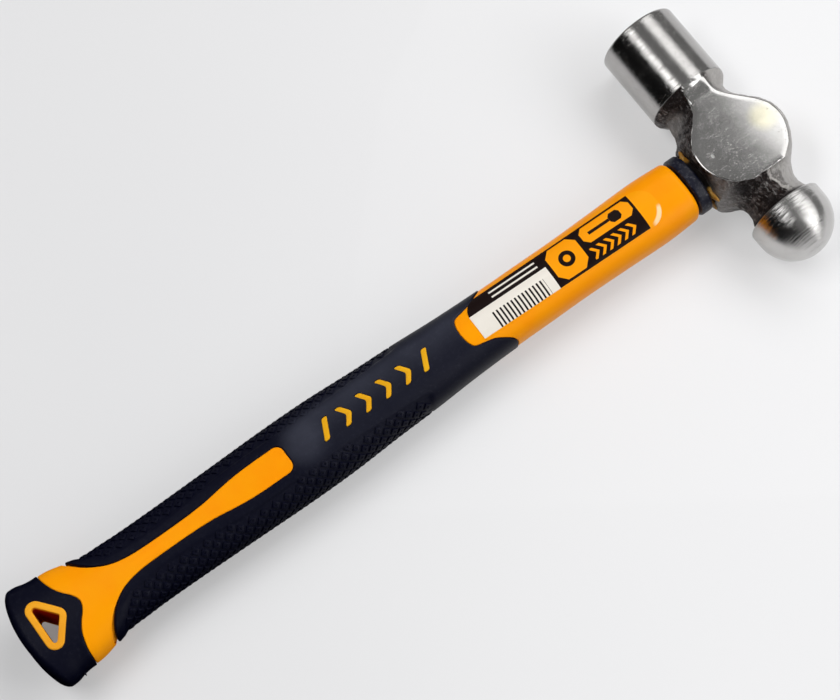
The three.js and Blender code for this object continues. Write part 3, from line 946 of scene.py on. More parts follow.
@dataclass(frozen=True)
class StudioPaper:
    """Pale sheet that the hammer lies on, shown brighter than it lights."""

    colour: Colour = tone(178, 178, 179)
    cloud: Colour = tone(174, 174, 176)
    glow: float = 0.295
    brighter: float = 0.12

    def material(self) -> Finish:
        """Builds the material."""
        g = Graph("studio_paper")
        here = g.here()
        x, y, _ = g.split(here)
        colour = g.blend(g.grain(here, 0.008, 2, 0.5), self.colour, self.cloud)
        inputs = {"Base Color": colour, "Roughness": 0.9, "Specular IOR Level": 0.1}
        sheet = g.node("ShaderNodeBsdfPrincipled", {}, inputs)
        # Brighter toward the head's side, in deeper shade inside the hang hole, and fading out along
        # the handle in what the steel mirrors
        path = g.node("ShaderNodeLightPath", {}, {})
        glossy = g.out(path, "Is Glossy Ray")
        seen = g.out(path, "Is Camera Ray").most(glossy).most(g.out(path, "Is Transmission Ray"))
        hole = from_middle(x + 285.0, y - 6.0).rise(5.0, 11.0) * 0.3 + 0.7
        ramp = (x * 0.81 - y * 0.59).rise(-270.0, 60.0) * self.brighter + self.glow
        tint = g.blend(hole, (1, 0.8, 0.76, 1), (1, 1, 1, 1))
        glow = g.node("ShaderNodeEmission", {}, {"Color": tint, "Strength": ramp * hole})
        none = g.node("ShaderNodeEmission", {}, {"Strength": 0.0})
        shown = g.out(g.node("ShaderNodeMixShader", {}, {0: seen, 1: g.out(none), 2: g.out(glow)}))
        both = g.out(g.node("ShaderNodeAddShader", {}, {0: g.out(sheet), 1: shown}))
        beyond = (1 - x.rise(-260.0, -60.0)) * glossy
        both = g.node("ShaderNodeMixShader", {}, {0: beyond, 1: both, 2: g.out(none)})
        return g.end("ShaderNodeOutputMaterial", both)


# ---- handle form


@dataclass(frozen=True)
class HandleForm:
    """Outside form of the handle and the plan outlines drawn on it."""

    butt_end: float = -296.5
    front_end: float = -23.5
    half_width: float = 14.85
    half_thickness: float = 10.0
    squareness: float = 2.5
    bow: float = 4.0
    bow_reach: float = 10.8
    rounding: float = 3.0
    mouth_half: float = 20.34
    mouth: float = -272.5
    stripe_front: float = -190.0
    stripe_half: float = 5.4
    stripe_corner: float = 3.0
    tongue_end: float = -118.7
    tongue_depth: float = 16.5
    cap_side: float = -280.5
    cap_nose: float = 7.2
    join: float = -258.3
    widths: Shares = Shares(
        (
            (0, 1.302), (0.025, 1.29), (0.048, 1.216), (0.07, 1.202), (0.095, 1.094), (0.119, 0.983),
            (0.143, 0.966), (0.167, 0.95), (0.22, 0.951), (0.3, 0.973), (0.385, 1), (0.45, 0.991),
            (0.52, 0.927), (0.58, 0.889), (0.64, 0.828), (0.7, 0.796), (0.76, 0.792), (0.82, 0.786),
            (0.88, 0.807), (0.945, 0.836), (0.98, 0.811), (1, 0.783),
        )
    )
    thicknesses: Shares = Shares(
        (
            (0, 1), (0.07, 1), (0.12, 0.97), (0.2, 0.96), (0.385, 1), (0.5, 0.99), (0.64, 0.96),
            (0.8, 0.95), (0.945, 0.97), (1, 0.94),
        )
    )
    slot_rows: Rows = (
        (-0.01, 1), (0.013, 0.785), (0.047, 0.589), (0.102, 0.388), (0.172, 0.23),
    )
    stripe_rows: Rows = (
        (0.25, 0.61), (0.345, 0.545), (0.49, 0.545), (0.61, 0.63), (0.71, 0.835), (0.79, 0.96),
        (0.88, 1), (0.964, 1),
    )
    tongue_rows: Rows = (
        (0, 0), (0.018, 0.147), (0.061, 0.246), (0.127, 0.305), (0.321, 0.339), (0.539, 0.379),
        (0.721, 0.452), (0.921, 0.546), (0.985, 0.64), (1, 1),
    )
    cap_rows: Rows = (
        (0, 1), (0.055, 0.708), (0.25, 0.467), (0.51, 0.305), (0.78, 0.186), (0.94, 0.089), (1, 0),
    )

    def share(self, place: Any) -> np.ndarray:
        """Gives how far along the handle a place is, from the butt end."""
        return (np.asarray(place, float) - self.butt_end) / (self.front_end - self.butt_end)

    def half_width_at(self, place: Any) -> np.ndarray:
        """Gives the half width at places."""
        return self.half_width * self.widths.at(self.share(place))

    def half_thickness_at(self, place: Any) -> np.ndarray:
        """Gives the half thickness at places."""
        return self.half_thickness * self.thicknesses.at(self.share(place))

    def wrap(self, place: Any, angle: Any, inset: Any = 0.0) -> np.ndarray:
        """Puts points on the handle's skin.

        Args:
            place: places along the handle.
            angle: angles round it, 0 at the +y flank and a quarter turn on top.
            inset: how far below the skin.

        Returns:
            The points.
        """
        place, angle, inset = np.broadcast_arrays(
            np.asarray(place, float), np.asarray(angle, float), np.asarray(inset, float)
        )
        power = 2 / self.squareness
        cos, sin = np.cos(angle), np.sin(angle)
        y = (self.half_width_at(place) - inset) * np.sign(cos) * np.abs(cos) ** power
        z = (self.half_thickness_at(place) - inset) * np.sign(sin) * np.abs(sin) ** power
        fade = np.maximum(0, 1 - (place - self.butt_end) / self.bow_reach)
        bow = fade * self.bow * (2 / self.widths.rows[0][1]) ** 2
        x = place + bow * (y / (2 * self.half_width)) ** 2
        return np.stack([x, y, z], axis=-1)

    def height_at(self, x: Any, y: Any, inset: Any = 0.0) -> np.ndarray:
        """Gives how high the skin is over a plan point."""
        wide = self.half_width_at(x) - inset
        high = self.half_thickness_at(x) - inset
        rest = 1 - np.clip(np.abs(y) / wide, 0, 0.999) ** self.squareness
        return high * rest ** (1 / self.squareness)

    def arc(self, place: float) -> tuple[np.ndarray, np.ndarray]:
        """Gives angles from top to bottom over the +y flank, and the arc length to each."""
        angle = np.linspace(QUARTER, -QUARTER, 721)
        return angle, lengths(self.wrap(place, angle))

    def all_round(self, place: float, columns: int) -> np.ndarray:
        """Spaces angles evenly all the way round a section.

        Args:
            place: where the section is.
            columns: how many angles it takes.

        Returns:
            The angles, with the first one again at the end.
        """
        angle, s = self.arc(place)
        half = np.interp(np.linspace(0, s[-1], columns // 2 + 1), s, angle)
        return np.concatenate([half, (math.pi - half[1:-1])[::-1], half[:1]])

    def unrolled(self, place: float, theta: np.ndarray, x: np.ndarray) -> np.ndarray:
        """Lays rings of skin points out flat.

        Args:
            place: the section on which distances round the handle are measured.
            theta: angle of each column.
            x: rings by columns, places along the handle.

        Returns:
            Place along the handle and distance round it for each point.
        """
        return np.stack([x, np.broadcast_to(lengths(self.wrap(place, theta)), x.shape)], -1)

    def angle_of(self, place: Any, across: Any) -> np.ndarray:
        """Gives the angle at which the upper skin has a reach across the handle."""
        share = np.clip(np.asarray(across, float) / self.half_width_at(place), 0, 1)
        return np.arccos(share ** (self.squareness / 2))

    def follow(self, line: np.ndarray, theta: np.ndarray, start: float) -> np.ndarray:
        """Finds where a plan outline crosses each angle.

        Args:
            line: plan points of the outline.
            theta: angles round the handle.
            start: a place to start from.

        Returns:
            The places along the handle.
        """
        x = np.full(len(theta), start)
        for _ in range(12):
            x = crossing(line, np.abs(self.wrap(x, theta)[:, 1]))
        return x

    def slot_line(self) -> np.ndarray:
        """Draws the slot's edge from the flank to the stripe's corner."""
        length = self.stripe_front - self.mouth
        rows = [(self.mouth + a * length, r * self.mouth_half) for a, r in self.slot_rows]
        rows += [(self.mouth + a * length, r * self.stripe_half) for a, r in self.stripe_rows]
        return smooth(rows)

    def tongue_line(self) -> np.ndarray:
        """Draws the sleeve's front edge from the middle to the flank."""
        end, depth = self.tongue_end, self.tongue_depth
        return smooth([(end + a * depth, r * self.mouth_half) for a, r in self.tongue_rows])

    def cap_line(self) -> np.ndarray:
        """Draws the cap's front edge from the flank to its nose."""
        side, nose = self.cap_side, self.cap_nose
        return smooth([(side + a * nose, r * self.mouth_half) for a, r in self.cap_rows])


FORM = HandleForm()


# ---- sleeve


@dataclass
class GripSleeve:
    """Black rubber sleeve: a slot for the stripe, a scalloped front edge and two studded flanks."""

    wall: float = 1.3
    edge: float = 0.5
    recess: float = 0.42
    rear_end: float = -240.0
    bend: float = 7.0
    columns: int = 74
    spacing: float = 0.72
    # How many rings there are behind rear_end, beside the whole slot, and beside the front edge
    rear_rings: int = 29
    slot_rings: int = 93
    front_rings: int = 43
    stud_pitch: float = 4.7
    stud_row: float = 2.15
    stud_size: float = 2.5
    stud_lean: float = 42.5
    stud_margin: float = 1.1
    stud_taper: float = 0.86
    stud_edge: float = 0.14
    stud_rim: float = 0.23
    stud_hole: tuple[float, float] = (0.12, 0.22)
    patch_top: Rows = (
        (-268.6, 19.0), (-267.4, 16.5), (-265.2, 12.6), (-262.0, 9.5), (-258.0, 7.7), (-252.0, 6.7),
        (-240.5, 6.1), (-227.2, 6.9), (-216.2, 8.0), (-204.7, 8.5), (-188.0, 8.4), (-171.5, 8.3),
        (-158.2, 9.0), (-148.0, 9.3), (-139.6, 10.0), (-138.6, 11.4), (-140.2, 14.0), (-141.5, 20.0),
    )

    def build(self, finish: Finish, marks: "InlayMarks") -> Piece:
        """Makes the sleeve with its studs.

        Args:
            finish: its material.
            marks: the marks that are let into it.

        Returns:
            The sleeve.
        """
        outer, inner, patch_line = self._half_places()
        sheets = []
        for sign in (1, -1):
            flip = np.array([1, sign, 1])
            sheets.append(Bench.sheet("skin", outer * flip))
            sheets.append(Bench.sheet("lining", inner * flip))
            for line in (self._rear_edge, self._front_edge):
                sheets.append(Bench.sheet("rim", np.stack([line(outer), line(inner)]) * flip))
        shell = Bench.joined("rubber_sleeve", sheets)
        Bench.weld(shell, 0.01)
        marks.cut_from(shell)
        sleeve = Bench.joined("rubber_sleeve", [shell, self._studs(patch_line)])
        return Bench.hand_in(sleeve, 42, Slot.RUBBER, finish, "grip_sleeve")

    def _rings(self) -> tuple[np.ndarray, np.ndarray, np.ndarray]:
        """Lists the rings, which run from the top outline over the flank to the bottom one.

        Returns:
            For each ring its start on the outline, its reach there and its place on the flank.
        """
        form = FORM
        slot = form.slot_line()
        slot = slot[slot[:, 0] >= form.join]
        near = [0, 0.002, 0.0045, 0.008, 0.013, 0.02, 0.03, 0.045, 0.065]
        rear = np.concatenate([near, np.linspace(0.09, 1, self.rear_rings - len(near))])
        # Beside the slot, round the stripe's corner and across the stripe's end
        start = list(form.join + (self.rear_end - form.join) * rear)
        corner_from = form.stripe_front - form.stripe_corner
        start += list(np.linspace(self.rear_end, corner_from, 52)[1:])
        across = list(np.interp(start, slot[:, 0], slot[:, 1]))
        flank = list(start)
        flat = form.stripe_half - form.stripe_corner
        start += [corner_from + form.stripe_corner * sin for sin, _ in quarter(10)]
        across += [flat + form.stripe_corner * cos for _, cos in quarter(10)]
        start += [form.stripe_front] * 4
        across += [flat * (1 - k / 4) for k in range(1, 5)]
        flank += list(corner_from + 0.55 * np.arange(1, 15))
        # Between the stripe and the tongue, where the rings run right round
        gaps = [0.06, 0.13, 0.22, 0.34, 0.5, 0.75, 1.1, 1.6, 2.4, 3.4]
        behind = [form.stripe_front + gap for gap in gaps]
        tail = form.tongue_end
        ahead = [tail - gap for gap in reversed(gaps)]
        run = np.array([*behind, *np.linspace(behind[-1], ahead[0], 62)[1:-1], *ahead, tail])
        lead, lag = flank[-1] - form.stripe_front, 3.0
        start += list(run)
        across += [0.0] * len(run)
        lead *= 1 - ease(run, form.stripe_front, -165)
        flank += list(run + lead - lag * ease(run, -145, tail))
        # Along the tongue, as far as its scallop lies on the upper face
        tongue = form.tongue_line()
        tongue = tongue[: np.searchsorted(tongue[:, 1], 11.45) + 1]
        steps = lengths(tongue)
        along = np.linspace(0, steps[-1], self.front_rings + 1)[1:]
        start += list(np.interp(along, steps, tongue[:, 0]))
        across += list(np.interp(along, steps, tongue[:, 1]))
        final = tail + form.tongue_depth
        inner = np.linspace(flank[-1], final - NEAR[-1], self.front_rings - len(NEAR) + 2)[1:-1]
        flank += [*inner, *(final - d for d in reversed(NEAR))]
        return np.array(start), np.array(across), np.array(flank)

    def _rear_edge(self, places: np.ndarray) -> np.ndarray:
        """Follows the rear edge: back along the slot, round the mouth and forward again."""
        rear = places[: self.slot_rings + 1]
        return np.concatenate([rear[::-1, 0], places[0, 1:-1], rear[:, -1]])

    def _front_edge(self, places: np.ndarray) -> np.ndarray:
        """Follows the front edge over the flank."""
        front = places[-self.front_rings - 1 :]
        return np.concatenate([front[:, 0], places[-1, 1:-1], front[::-1, -1]])

    def _half_places(self) -> tuple[np.ndarray, np.ndarray, np.ndarray]:
        """Works out the +y side.

        Returns:
            The skin's points, the lining's points and the outline of the studded patch.
        """
        form = FORM
        start, across, flank = self._rings()
        slot, tongue = form.slot_line(), form.tongue_line()
        slot_rear = slot[slot[:, 0] <= form.join]
        final = form.tongue_end + form.tongue_depth
        first_tongue = len(start) - self.front_rings
        rows = []
        for k, place in enumerate(start):
            angle, s = form.arc(place)
            s0 = float(np.interp(-form.angle_of(place, across[k]), -angle, s))
            length = s[-1] - 2 * s0
            spaced = edged(length, self.spacing)
            share = np.linspace(0, 1, len(spaced))
            spread = np.interp(np.linspace(0, 1, self.columns), share, spaced)
            theta = np.interp(s0 + spread, s, angle)
            y = np.abs(form.wrap(place, theta)[:, 1])
            if k < self.rear_rings:
                line_x = crossing(slot_rear, y)
                fade = 1 - (place - form.join) / (self.rear_end - form.join)
                x = place + fade * (line_x - line_x[0])
            else:
                shape = ease(np.minimum(spread, length - spread), 0, self.bend)
                if k >= first_tongue:
                    part = (crossing(tongue, y) - place) / max(final - place, 1e-6)
                    settle = (k - first_tongue) / (self.front_rings - 1)
                    shape = (1 - settle) * shape + settle * part
                x = place + (flank[k] - place) * shape
            rows.append((x, theta, s0 + spread - s[-1] / 2))
        x, theta, round_it = np.array(rows).transpose(1, 0, 2)
        # Laid out flat, the skin lies lower along its edges and in the patch of studs
        here = np.stack([x, round_it], axis=-1)
        rear, front = here[: self.slot_rings + 1], here[first_tongue - 1 :]
        edges = [here[0], here[-1], rear[:, 0], rear[:, -1], front[:, 0], front[:, -1]]
        gap = np.min([distance_to(here, line) for line in edges], axis=0)
        patch_line = self._patch_line()
        away = distance_to(here, patch_line)
        depth = ease(np.where(self._inside(here, patch_line), away, -away), -0.1, 0.75)
        inset = edge_drop(gap, self.edge) + self.recess * depth
        return form.wrap(x, theta, inset), form.wrap(x, theta, self.wall), patch_line

    def _patch_line(self) -> np.ndarray:
        """Draws the studded patch's outline, laid out flat from the flank's middle."""
        rows = []
        for x, y in smooth(self.patch_top, 160):
            angle, s = FORM.arc(x)
            rows.append((x, float(np.interp(-FORM.angle_of(x, y), -angle, s)) - s[-1] / 2))
        upper = np.array(rows)
        return np.vstack([upper, upper[::-1] * np.array([1, -1]), upper[:1]])

    @staticmethod
    def _inside(here: np.ndarray, line: np.ndarray) -> np.ndarray:
        """Tells which places lie inside an outline, both laid out flat."""
        x, y = here[..., 0], here[..., 1]
        inside = np.zeros(x.shape, bool)
        for (x0, y0), (x1, y1) in zip(line[:-1], line[1:]):
            if y0 == y1:
                continue
            crosses = (y0 > y) != (y1 > y)
            inside ^= crosses & (x < (x1 - x0) * (y - y0) / (y1 - y0) + x0)
        return inside

    def _stud(self) -> Piece:
        """Models one stud: a low square pad with a soft edge and a small hole."""
        Bench.clear()
        bpy.ops.mesh.primitive_cube_add(size=1, location=(0, 0, 0))
        stud = Bench.fresh("stud")
        Bench.edit(stud)
        bpy.ops.transform.resize(value=(self.stud_size, self.stud_size, 2 * self.recess))
        self._top(stud)
        bpy.ops.transform.resize(value=(self.stud_taper, self.stud_taper, 1))
        bpy.ops.mesh.bevel(offset=self.stud_edge, segments=2, affect="EDGES")
        self._top(stud)
        bpy.ops.mesh.inset(thickness=self.stud_size * self.stud_rim)
        slope, depth = self.stud_hole
        bpy.ops.mesh.inset(thickness=slope, depth=-depth)
        bpy.ops.object.mode_set(mode="OBJECT")
        return stud

    @staticmethod
    def _top(stud: Piece) -> None:
        """Selects the stud's flat top."""
        bpy.ops.mesh.select_all(action="DESELECT")
        bpy.ops.object.mode_set(mode="OBJECT")
        high = max(face.center.z for face in stud.data.polygons)
        for face in stud.data.polygons:
            face.select = face.normal.z > 0.95 and face.center.z > high - 0.02
        bpy.ops.object.mode_set(mode="EDIT")

    def _studs(self, line: np.ndarray) -> Piece:
        """Sets copies of the stud all over both flanks.

        Args:
            line: outline of the studded patch, laid out flat.

        Returns:
            The studs in one piece.
        """
        form = FORM
        low, high = line.min(0), line.max(0)
        rows = int((high[1] - low[1]) / self.stud_row) + 2
        columns = int((high[0] - low[0]) / self.stud_pitch) + 2
        spots = np.array(
            [
                (low[0] + r % 2 * self.stud_pitch / 2 + c * self.stud_pitch, r * self.stud_row)
                for r in range(-rows // 2, rows // 2 + 1)
                for c in range(columns)
            ]
        )
        spots = spots[self._inside(spots, line) & (distance_to(spots, line) > self.stud_margin)]
        stud = self._stud()
        base = Bench.raw(stud)
        lean = math.radians(self.stud_lean)
        studs = []
        for x, across in spots:
            angle, s = form.arc(x)
            theta = float(np.interp(across + s[-1] / 2, s, angle))
            middle = form.wrap(x, theta, self.recess)
            ahead = form.wrap(x + 0.5, theta, self.recess) - middle
            beside = form.wrap(x, theta - 0.02, self.recess) - form.wrap(x, theta + 0.02, self.recess)
            ahead /= np.linalg.norm(ahead)
            beside /= np.linalg.norm(beside)
            out = np.cross(beside, ahead)
            out *= np.sign(out[1:] @ middle[1:])
            along = math.cos(lean) * ahead + math.sin(lean) * beside
            places = middle + base @ np.stack([along, np.cross(out, along), out])
            for sign in (1, -1):
                studs.append(Bench.copy(stud, places * np.array([1, sign, 1])))
        bpy.data.objects.remove(stud)
        patch = Bench.joined("studs", studs)
        Bench.weld(patch, 0.0001)
        return patch


# ---- jacket


@dataclass
class HandleJacket:
    """Orange moulding: the barrel by the head, the stripe, the band before the cap, and the core."""

    sink: float = 0.35
    gap: float = 0.14
    edge: float = 0.32
    nose: float = 2.0
    columns: int = 168
    flank_columns: int = 70
    wall: float = 1.2
    shell: float = 0.3
    core: float = 1.25
    section: float = -110.0

    def build(self, finish: Finish) -> Piece:
        """Makes the jacket.

        Args:
            finish: its material.

        Returns:
            The jacket.
        """
        parts = [self._barrel(), self._band(), self._core()]
        jacket = Bench.joined("jacket_moulding", parts)
        return Bench.hand_in(jacket, 50, Slot.ORANGE, finish, "handle_jacket")

    def _barrel(self) -> Piece:
        """Makes the barrel from the sleeve's scalloped edge to the collar."""
        form = FORM
        theta = form.all_round(-105.0, self.columns)
        edge_x = form.follow(form.tongue_line(), theta, self.section) + self.gap
        body_end = form.front_end - self.sink - self.nose
        near = np.array([0, 0.07, 0.15, 0.25, 0.38, 0.55, 0.8, 1.2, 1.8, 2.6]) / 80
        share = np.concatenate([near, np.linspace(3.6 / 80, 1, 78)])
        x = edge_x + (body_end - edge_x) * share[:, None]
        plan = form.unrolled(self.section, theta, x)
        drop = edge_drop(distance_to(plan, plan[0]), self.edge)
        below = form.wrap(x[0], theta, self.sink + self.edge + self.wall)
        rows = [below[None], form.wrap(x, theta, self.sink + drop)]
        for sin, cos in quarter(8):
            place = np.full(len(theta), body_end + self.nose * sin)
            rows.append(form.wrap(place, theta, self.sink + self.nose * (1 - cos))[None])
        nose = rows[-1]
        rows += [nose * np.array([1, scale, scale]) for scale in (0.75, 0.55)]
        return Bench.tube("barrel", np.vstack(rows))

    def _band(self) -> Piece:
        """Makes the band before the cap with the stripe on both faces."""
        form = FORM
        slot = form.slot_line()
        rear_slot = slot[slot[:, 0] <= form.join + 0.4]
        join_half = float(np.interp(form.join, slot[:, 0], slot[:, 1])) - self.gap
        across = [*(1 - np.array([0, 0.02, 0.045, 0.08, 0.13, 0.2])), *np.linspace(0.72, 0, 8)]
        across = np.concatenate([across, -np.array(across)[::-1][1:]])
        # Angles: over the top stripe, round one flank, under the bottom stripe, round the other
        top_reach = join_half * across[::-1]
        edge_angle = float(form.angle_of(form.join, join_half))
        flank = np.linspace(edge_angle, -edge_angle, self.flank_columns + 2)[1:-1]
        top = form.angle_of(form.join, np.abs(top_reach))
        top = np.where(top_reach > 0, top, math.pi - top)
        theta = np.concatenate([top, flank, -top[::-1], math.pi + flank, top[:1]])
        front = form.follow(rear_slot, theta, -262.0) - self.gap
        beside_stripe = np.abs(form.wrap(form.join, theta)[:, 1]) < join_half + 0.01
        front = np.where(beside_stripe, form.join, front)
        rear = form.follow(form.cap_line(), theta, -274.0) + self.gap
        near = np.array([0, 0.012, 0.026, 0.045, 0.07, 0.1, 0.14, 0.2])
        share = np.concatenate([near, np.linspace(0.27, 0.73, 9), 1 - near[::-1]])
        x = rear + (front - rear) * share[:, None]
        # The band's edges are rounded, except where a stripe leaves it
        plan = form.unrolled(self.section, theta, x)
        count = len(across)
        bottom = slice(count + self.flank_columns, 2 * count + self.flank_columns)
        free = np.ones(len(theta), bool)
        free[:count] = free[bottom] = free[-1] = False
        front_line = plan[-1][free]
        half = len(front_line) // 2
        edges = (plan[0], front_line[:half], front_line[half:])
        drop = np.max([edge_drop(distance_to(plan, line), self.edge) for line in edges], axis=0)
        points = form.wrap(x, theta, self.sink + drop)
        # Each stripe's first ring takes the band's points so that the two weld
        upper = self._stripe(across, join_half)
        lower = upper * np.array([1, 1, -1])
        upper[0] = points[-1, :count]
        lower[0] = points[-1, bottom][::-1]
        sheets = (("band", points), ("stripe_top", upper), ("stripe_bottom", lower))
        band = Bench.joined("band", [Bench.sheet(name, places) for name, places in sheets])
        Bench.weld(band, 0.01)
        Bench.face_out(band)
        Bench.finish_with(
            band, "SOLIDIFY", thickness=self.shell * MM, offset=-1, use_even_offset=False
        )
        return band

    def _stripe(self, across: np.ndarray, join_half: float) -> np.ndarray:
        """Lays the upper stripe out from the band to its round front corners.

        Args:
            across: shares of the half width, from one edge to the other.
            join_half: the half width where it leaves the band.

        Returns:
            Its points.
        """
        form = FORM
        slot = form.slot_line()
        corner_from = form.stripe_front - form.stripe_corner
        radius = form.stripe_corner - self.gap
        places = np.linspace(form.join, corner_from, 60)
        halves = np.interp(places, slot[:, 0], slot[:, 1]) - self.gap
        halves[0] = join_half
        flat = form.stripe_half - form.stripe_corner
        places = np.append(places, [corner_from + radius * sin for sin, _ in quarter(10)])
        halves = np.append(halves, [flat + radius * cos for _, cos in quarter(10)])
        y = halves[:, None] * across[::-1]
        x = np.broadcast_to(places[:, None], y.shape)
        # The rounded edge runs forward on one side and back on the other
        edge = np.vstack([np.stack([places, halves], -1), np.stack([places, -halves], -1)[::-1]])
        drop = edge_drop(distance_to(np.stack([x, y], -1), edge), self.edge)
        return np.stack([x, y, form.height_at(x, y, self.sink + drop)], -1)

    def _core(self) -> Piece:
        """Makes the core that fills the handle under its skins."""
        theta = FORM.all_round(-200.0, self.columns)[::3]
        places = np.linspace(-279.0, -100.0, 70)
        return Bench.tube("core", FORM.wrap(places[:, None], theta, self.core))


# ---- cap and liner


@dataclass
class ButtCap:
    """Black cap on the butt end, with the hang hole."""

    edge: float = 0.45
    wall: float = 1.2
    hole_clearance: float = 0.05
    columns: int = 168
    end_rings: tuple[float, ...] = (0.93, 0.84, 0.72, 0.58, 0.44, 0.3, 0.16, 0.03)
    nib_at: tuple[float, float] = (-285.5, 3.1)
    nib_sink: float = 0.4
    nib_radii: tuple[float, float] = (0.62, 0.12)
    nib_length: float = 2.2

    def build(self, finish: Finish) -> Piece:
        """Makes the cap.

        Args:
            finish: its material.

        Returns:
            The cap.
        """
        form = FORM
        theta = form.all_round(-285.0, self.columns)
        edge_x = form.follow(form.cap_line(), theta, -276.0)
        body = form.butt_end + form.rounding
        near = np.array([0, 0.06, 0.13, 0.22, 0.34, 0.5, 0.8, 1.3]) / 13
        share = np.concatenate([near, np.linspace(0.15, 1, 18)])
        x = edge_x + (body - edge_x) * share[:, None]
        plan = form.unrolled(-280.0, theta, x)
        drop = edge_drop(distance_to(plan, plan[0]), self.edge)
        rows = [form.wrap(edge_x, theta, self.edge + self.wall)[None], form.wrap(x, theta, drop)]
        for sin, cos in quarter(8):
            place = np.full(len(theta), body - form.rounding * sin)
            rows.append(form.wrap(place, theta, form.rounding * (1 - cos))[None])
        # The end face keeps the bow of its rim on the way in
        end = rows[-1][0]
        lift = (end[:, 0] - form.butt_end) / np.maximum(end[:, 1] ** 2, 1e-9)
        lift = float(np.median(lift[np.abs(end[:, 1]) > 8]))
        for scale in self.end_rings:
            y, z = end[:, 1] * scale, end[:, 2] * scale
            rows.append(np.stack([form.butt_end + lift * y**2, y, z], -1)[None])
        piece = Bench.tube("end_cap", np.vstack(rows))
        hole = HangHole()
        outline = hole.outline(hole.radius + self.hole_clearance)
        Bench.combine(piece, Bench.plate("hole_cutter", outline, -20, 20, 0, 0), "DIFFERENCE")
        piece = Bench.joined("end_cap", [piece, self._nib()])
        return Bench.hand_in(piece, 50, Slot.RUBBER, finish, "butt_cap")

    def _nib(self) -> Piece:
        """Makes the small spur that the mould left on the cap's side."""
        x, angle = self.nib_at
        foot = FORM.wrap(np.array([x]), np.array([angle]), self.nib_sink)[0]
        root, tip = self.nib_radii
        Bench.clear()
        bpy.ops.mesh.primitive_cone_add(
            vertices=10, radius1=root, radius2=tip, depth=self.nib_length
        )
        nib = Bench.fresh("nib")
        Bench.edit(nib)
        bpy.ops.mesh.bevel(offset=0.06, segments=1, affect="EDGES")
        bpy.ops.object.mode_set(mode="OBJECT")
        places = Bench.raw(nib) + np.array([0, 0, self.nib_length / 2])
        out = np.array([0.1, math.cos(angle), math.sin(angle)])
        side = np.array([1.0, 0.0, 0.0])
        Bench.put(nib, foot + places @ np.stack([side, np.cross(out, side), out * 0.8]))
        Bench.face_out(nib)
        return nib


@dataclass(frozen=True)
class HangHole:
    """Rounded triangle of the hang hole."""

    rear: float = -290.5
    radius: float = 3.3
    spread: float = 12.2
    rise: float = 4.8
    steps: int = 12

    def outline(self, radius: float) -> np.ndarray:
        """Draws the triangle with a given corner radius.

        Args:
            radius: the corners' radius.

        Returns:
            Plan points, in order.
        """
        side = self.spread / 2
        rear_centre = self.rear + self.radius
        apex = rear_centre + self.rise
        lean = math.atan2(self.rise, side)
        rows: list[tuple[float, float]] = []
        arcs = (
            (apex, 0.0, -lean, lean),
            (rear_centre, side, lean, math.pi),
            (rear_centre, -side, math.pi, 2 * math.pi - lean),
        )
        for x, y, start, stop in arcs:
            for k in range(self.steps + 1):
                angle = start + (stop - start) * k / self.steps
                rows.append((x + radius * math.cos(angle), y + radius * math.sin(angle)))
        corners = np.array(rows)
        dense = []
        for a, b in zip(corners, np.roll(corners, -1, axis=0)):
            pieces = max(1, round(float(np.linalg.norm(b - a)) / 0.8))
            dense += [a + (b - a) * k / pieces for k in range(pieces)]
        return np.array(dense)


@dataclass
class HoleLiner:
    """Amber ring that lines the hang hole."""

    wall: float = 2.4
    proud: float = 0.3
    edge: float = 0.45
    skirt: float = 1.2
    inner_skirt: float = 4.0

    def build(self, finish: Finish) -> Piece:
        """Makes the liner.

        Args:
            finish: its material.

        Returns:
            The liner.
        """
        hole = HangHole()
        base = hole.outline(hole.radius)
        inner = hole.outline(hole.radius - self.wall)
        # Depth into the wall and drop below the rim, over both rounded edges
        lip = [(0.0, -self.edge)]
        lip += [(self.edge * (1 - cos), -self.edge * (1 - sin)) for sin, cos in quarter(5)]
        far_lip = [(self.wall - depth, drop) for depth, drop in lip[::-1]]
        profile = [(0.0, -self.skirt), *lip, *far_lip]
        profile += [(self.wall, -self.skirt), (self.wall, -self.inner_skirt)]
        rows = []
        for depth, drop in profile:
            t = depth / self.wall
            plan = base * (1 - t) + inner * t
            top = FORM.height_at(plan[:, 0], plan[:, 1], -self.proud)
            rows.append(np.column_stack([plan, top + drop]))
        rows += [row * np.array([1, 1, -1]) for row in reversed(rows)]
        rows.append(rows[0])
        places = np.array(rows)
        liner = Bench.sheet("hole_liner", np.concatenate([places, places[:, :1]], axis=1))
        Bench.weld(liner, 0.005)
        return Bench.hand_in(liner, 50, Slot.AMBER, finish, "hang_hole_liner")


# ---- marks and label


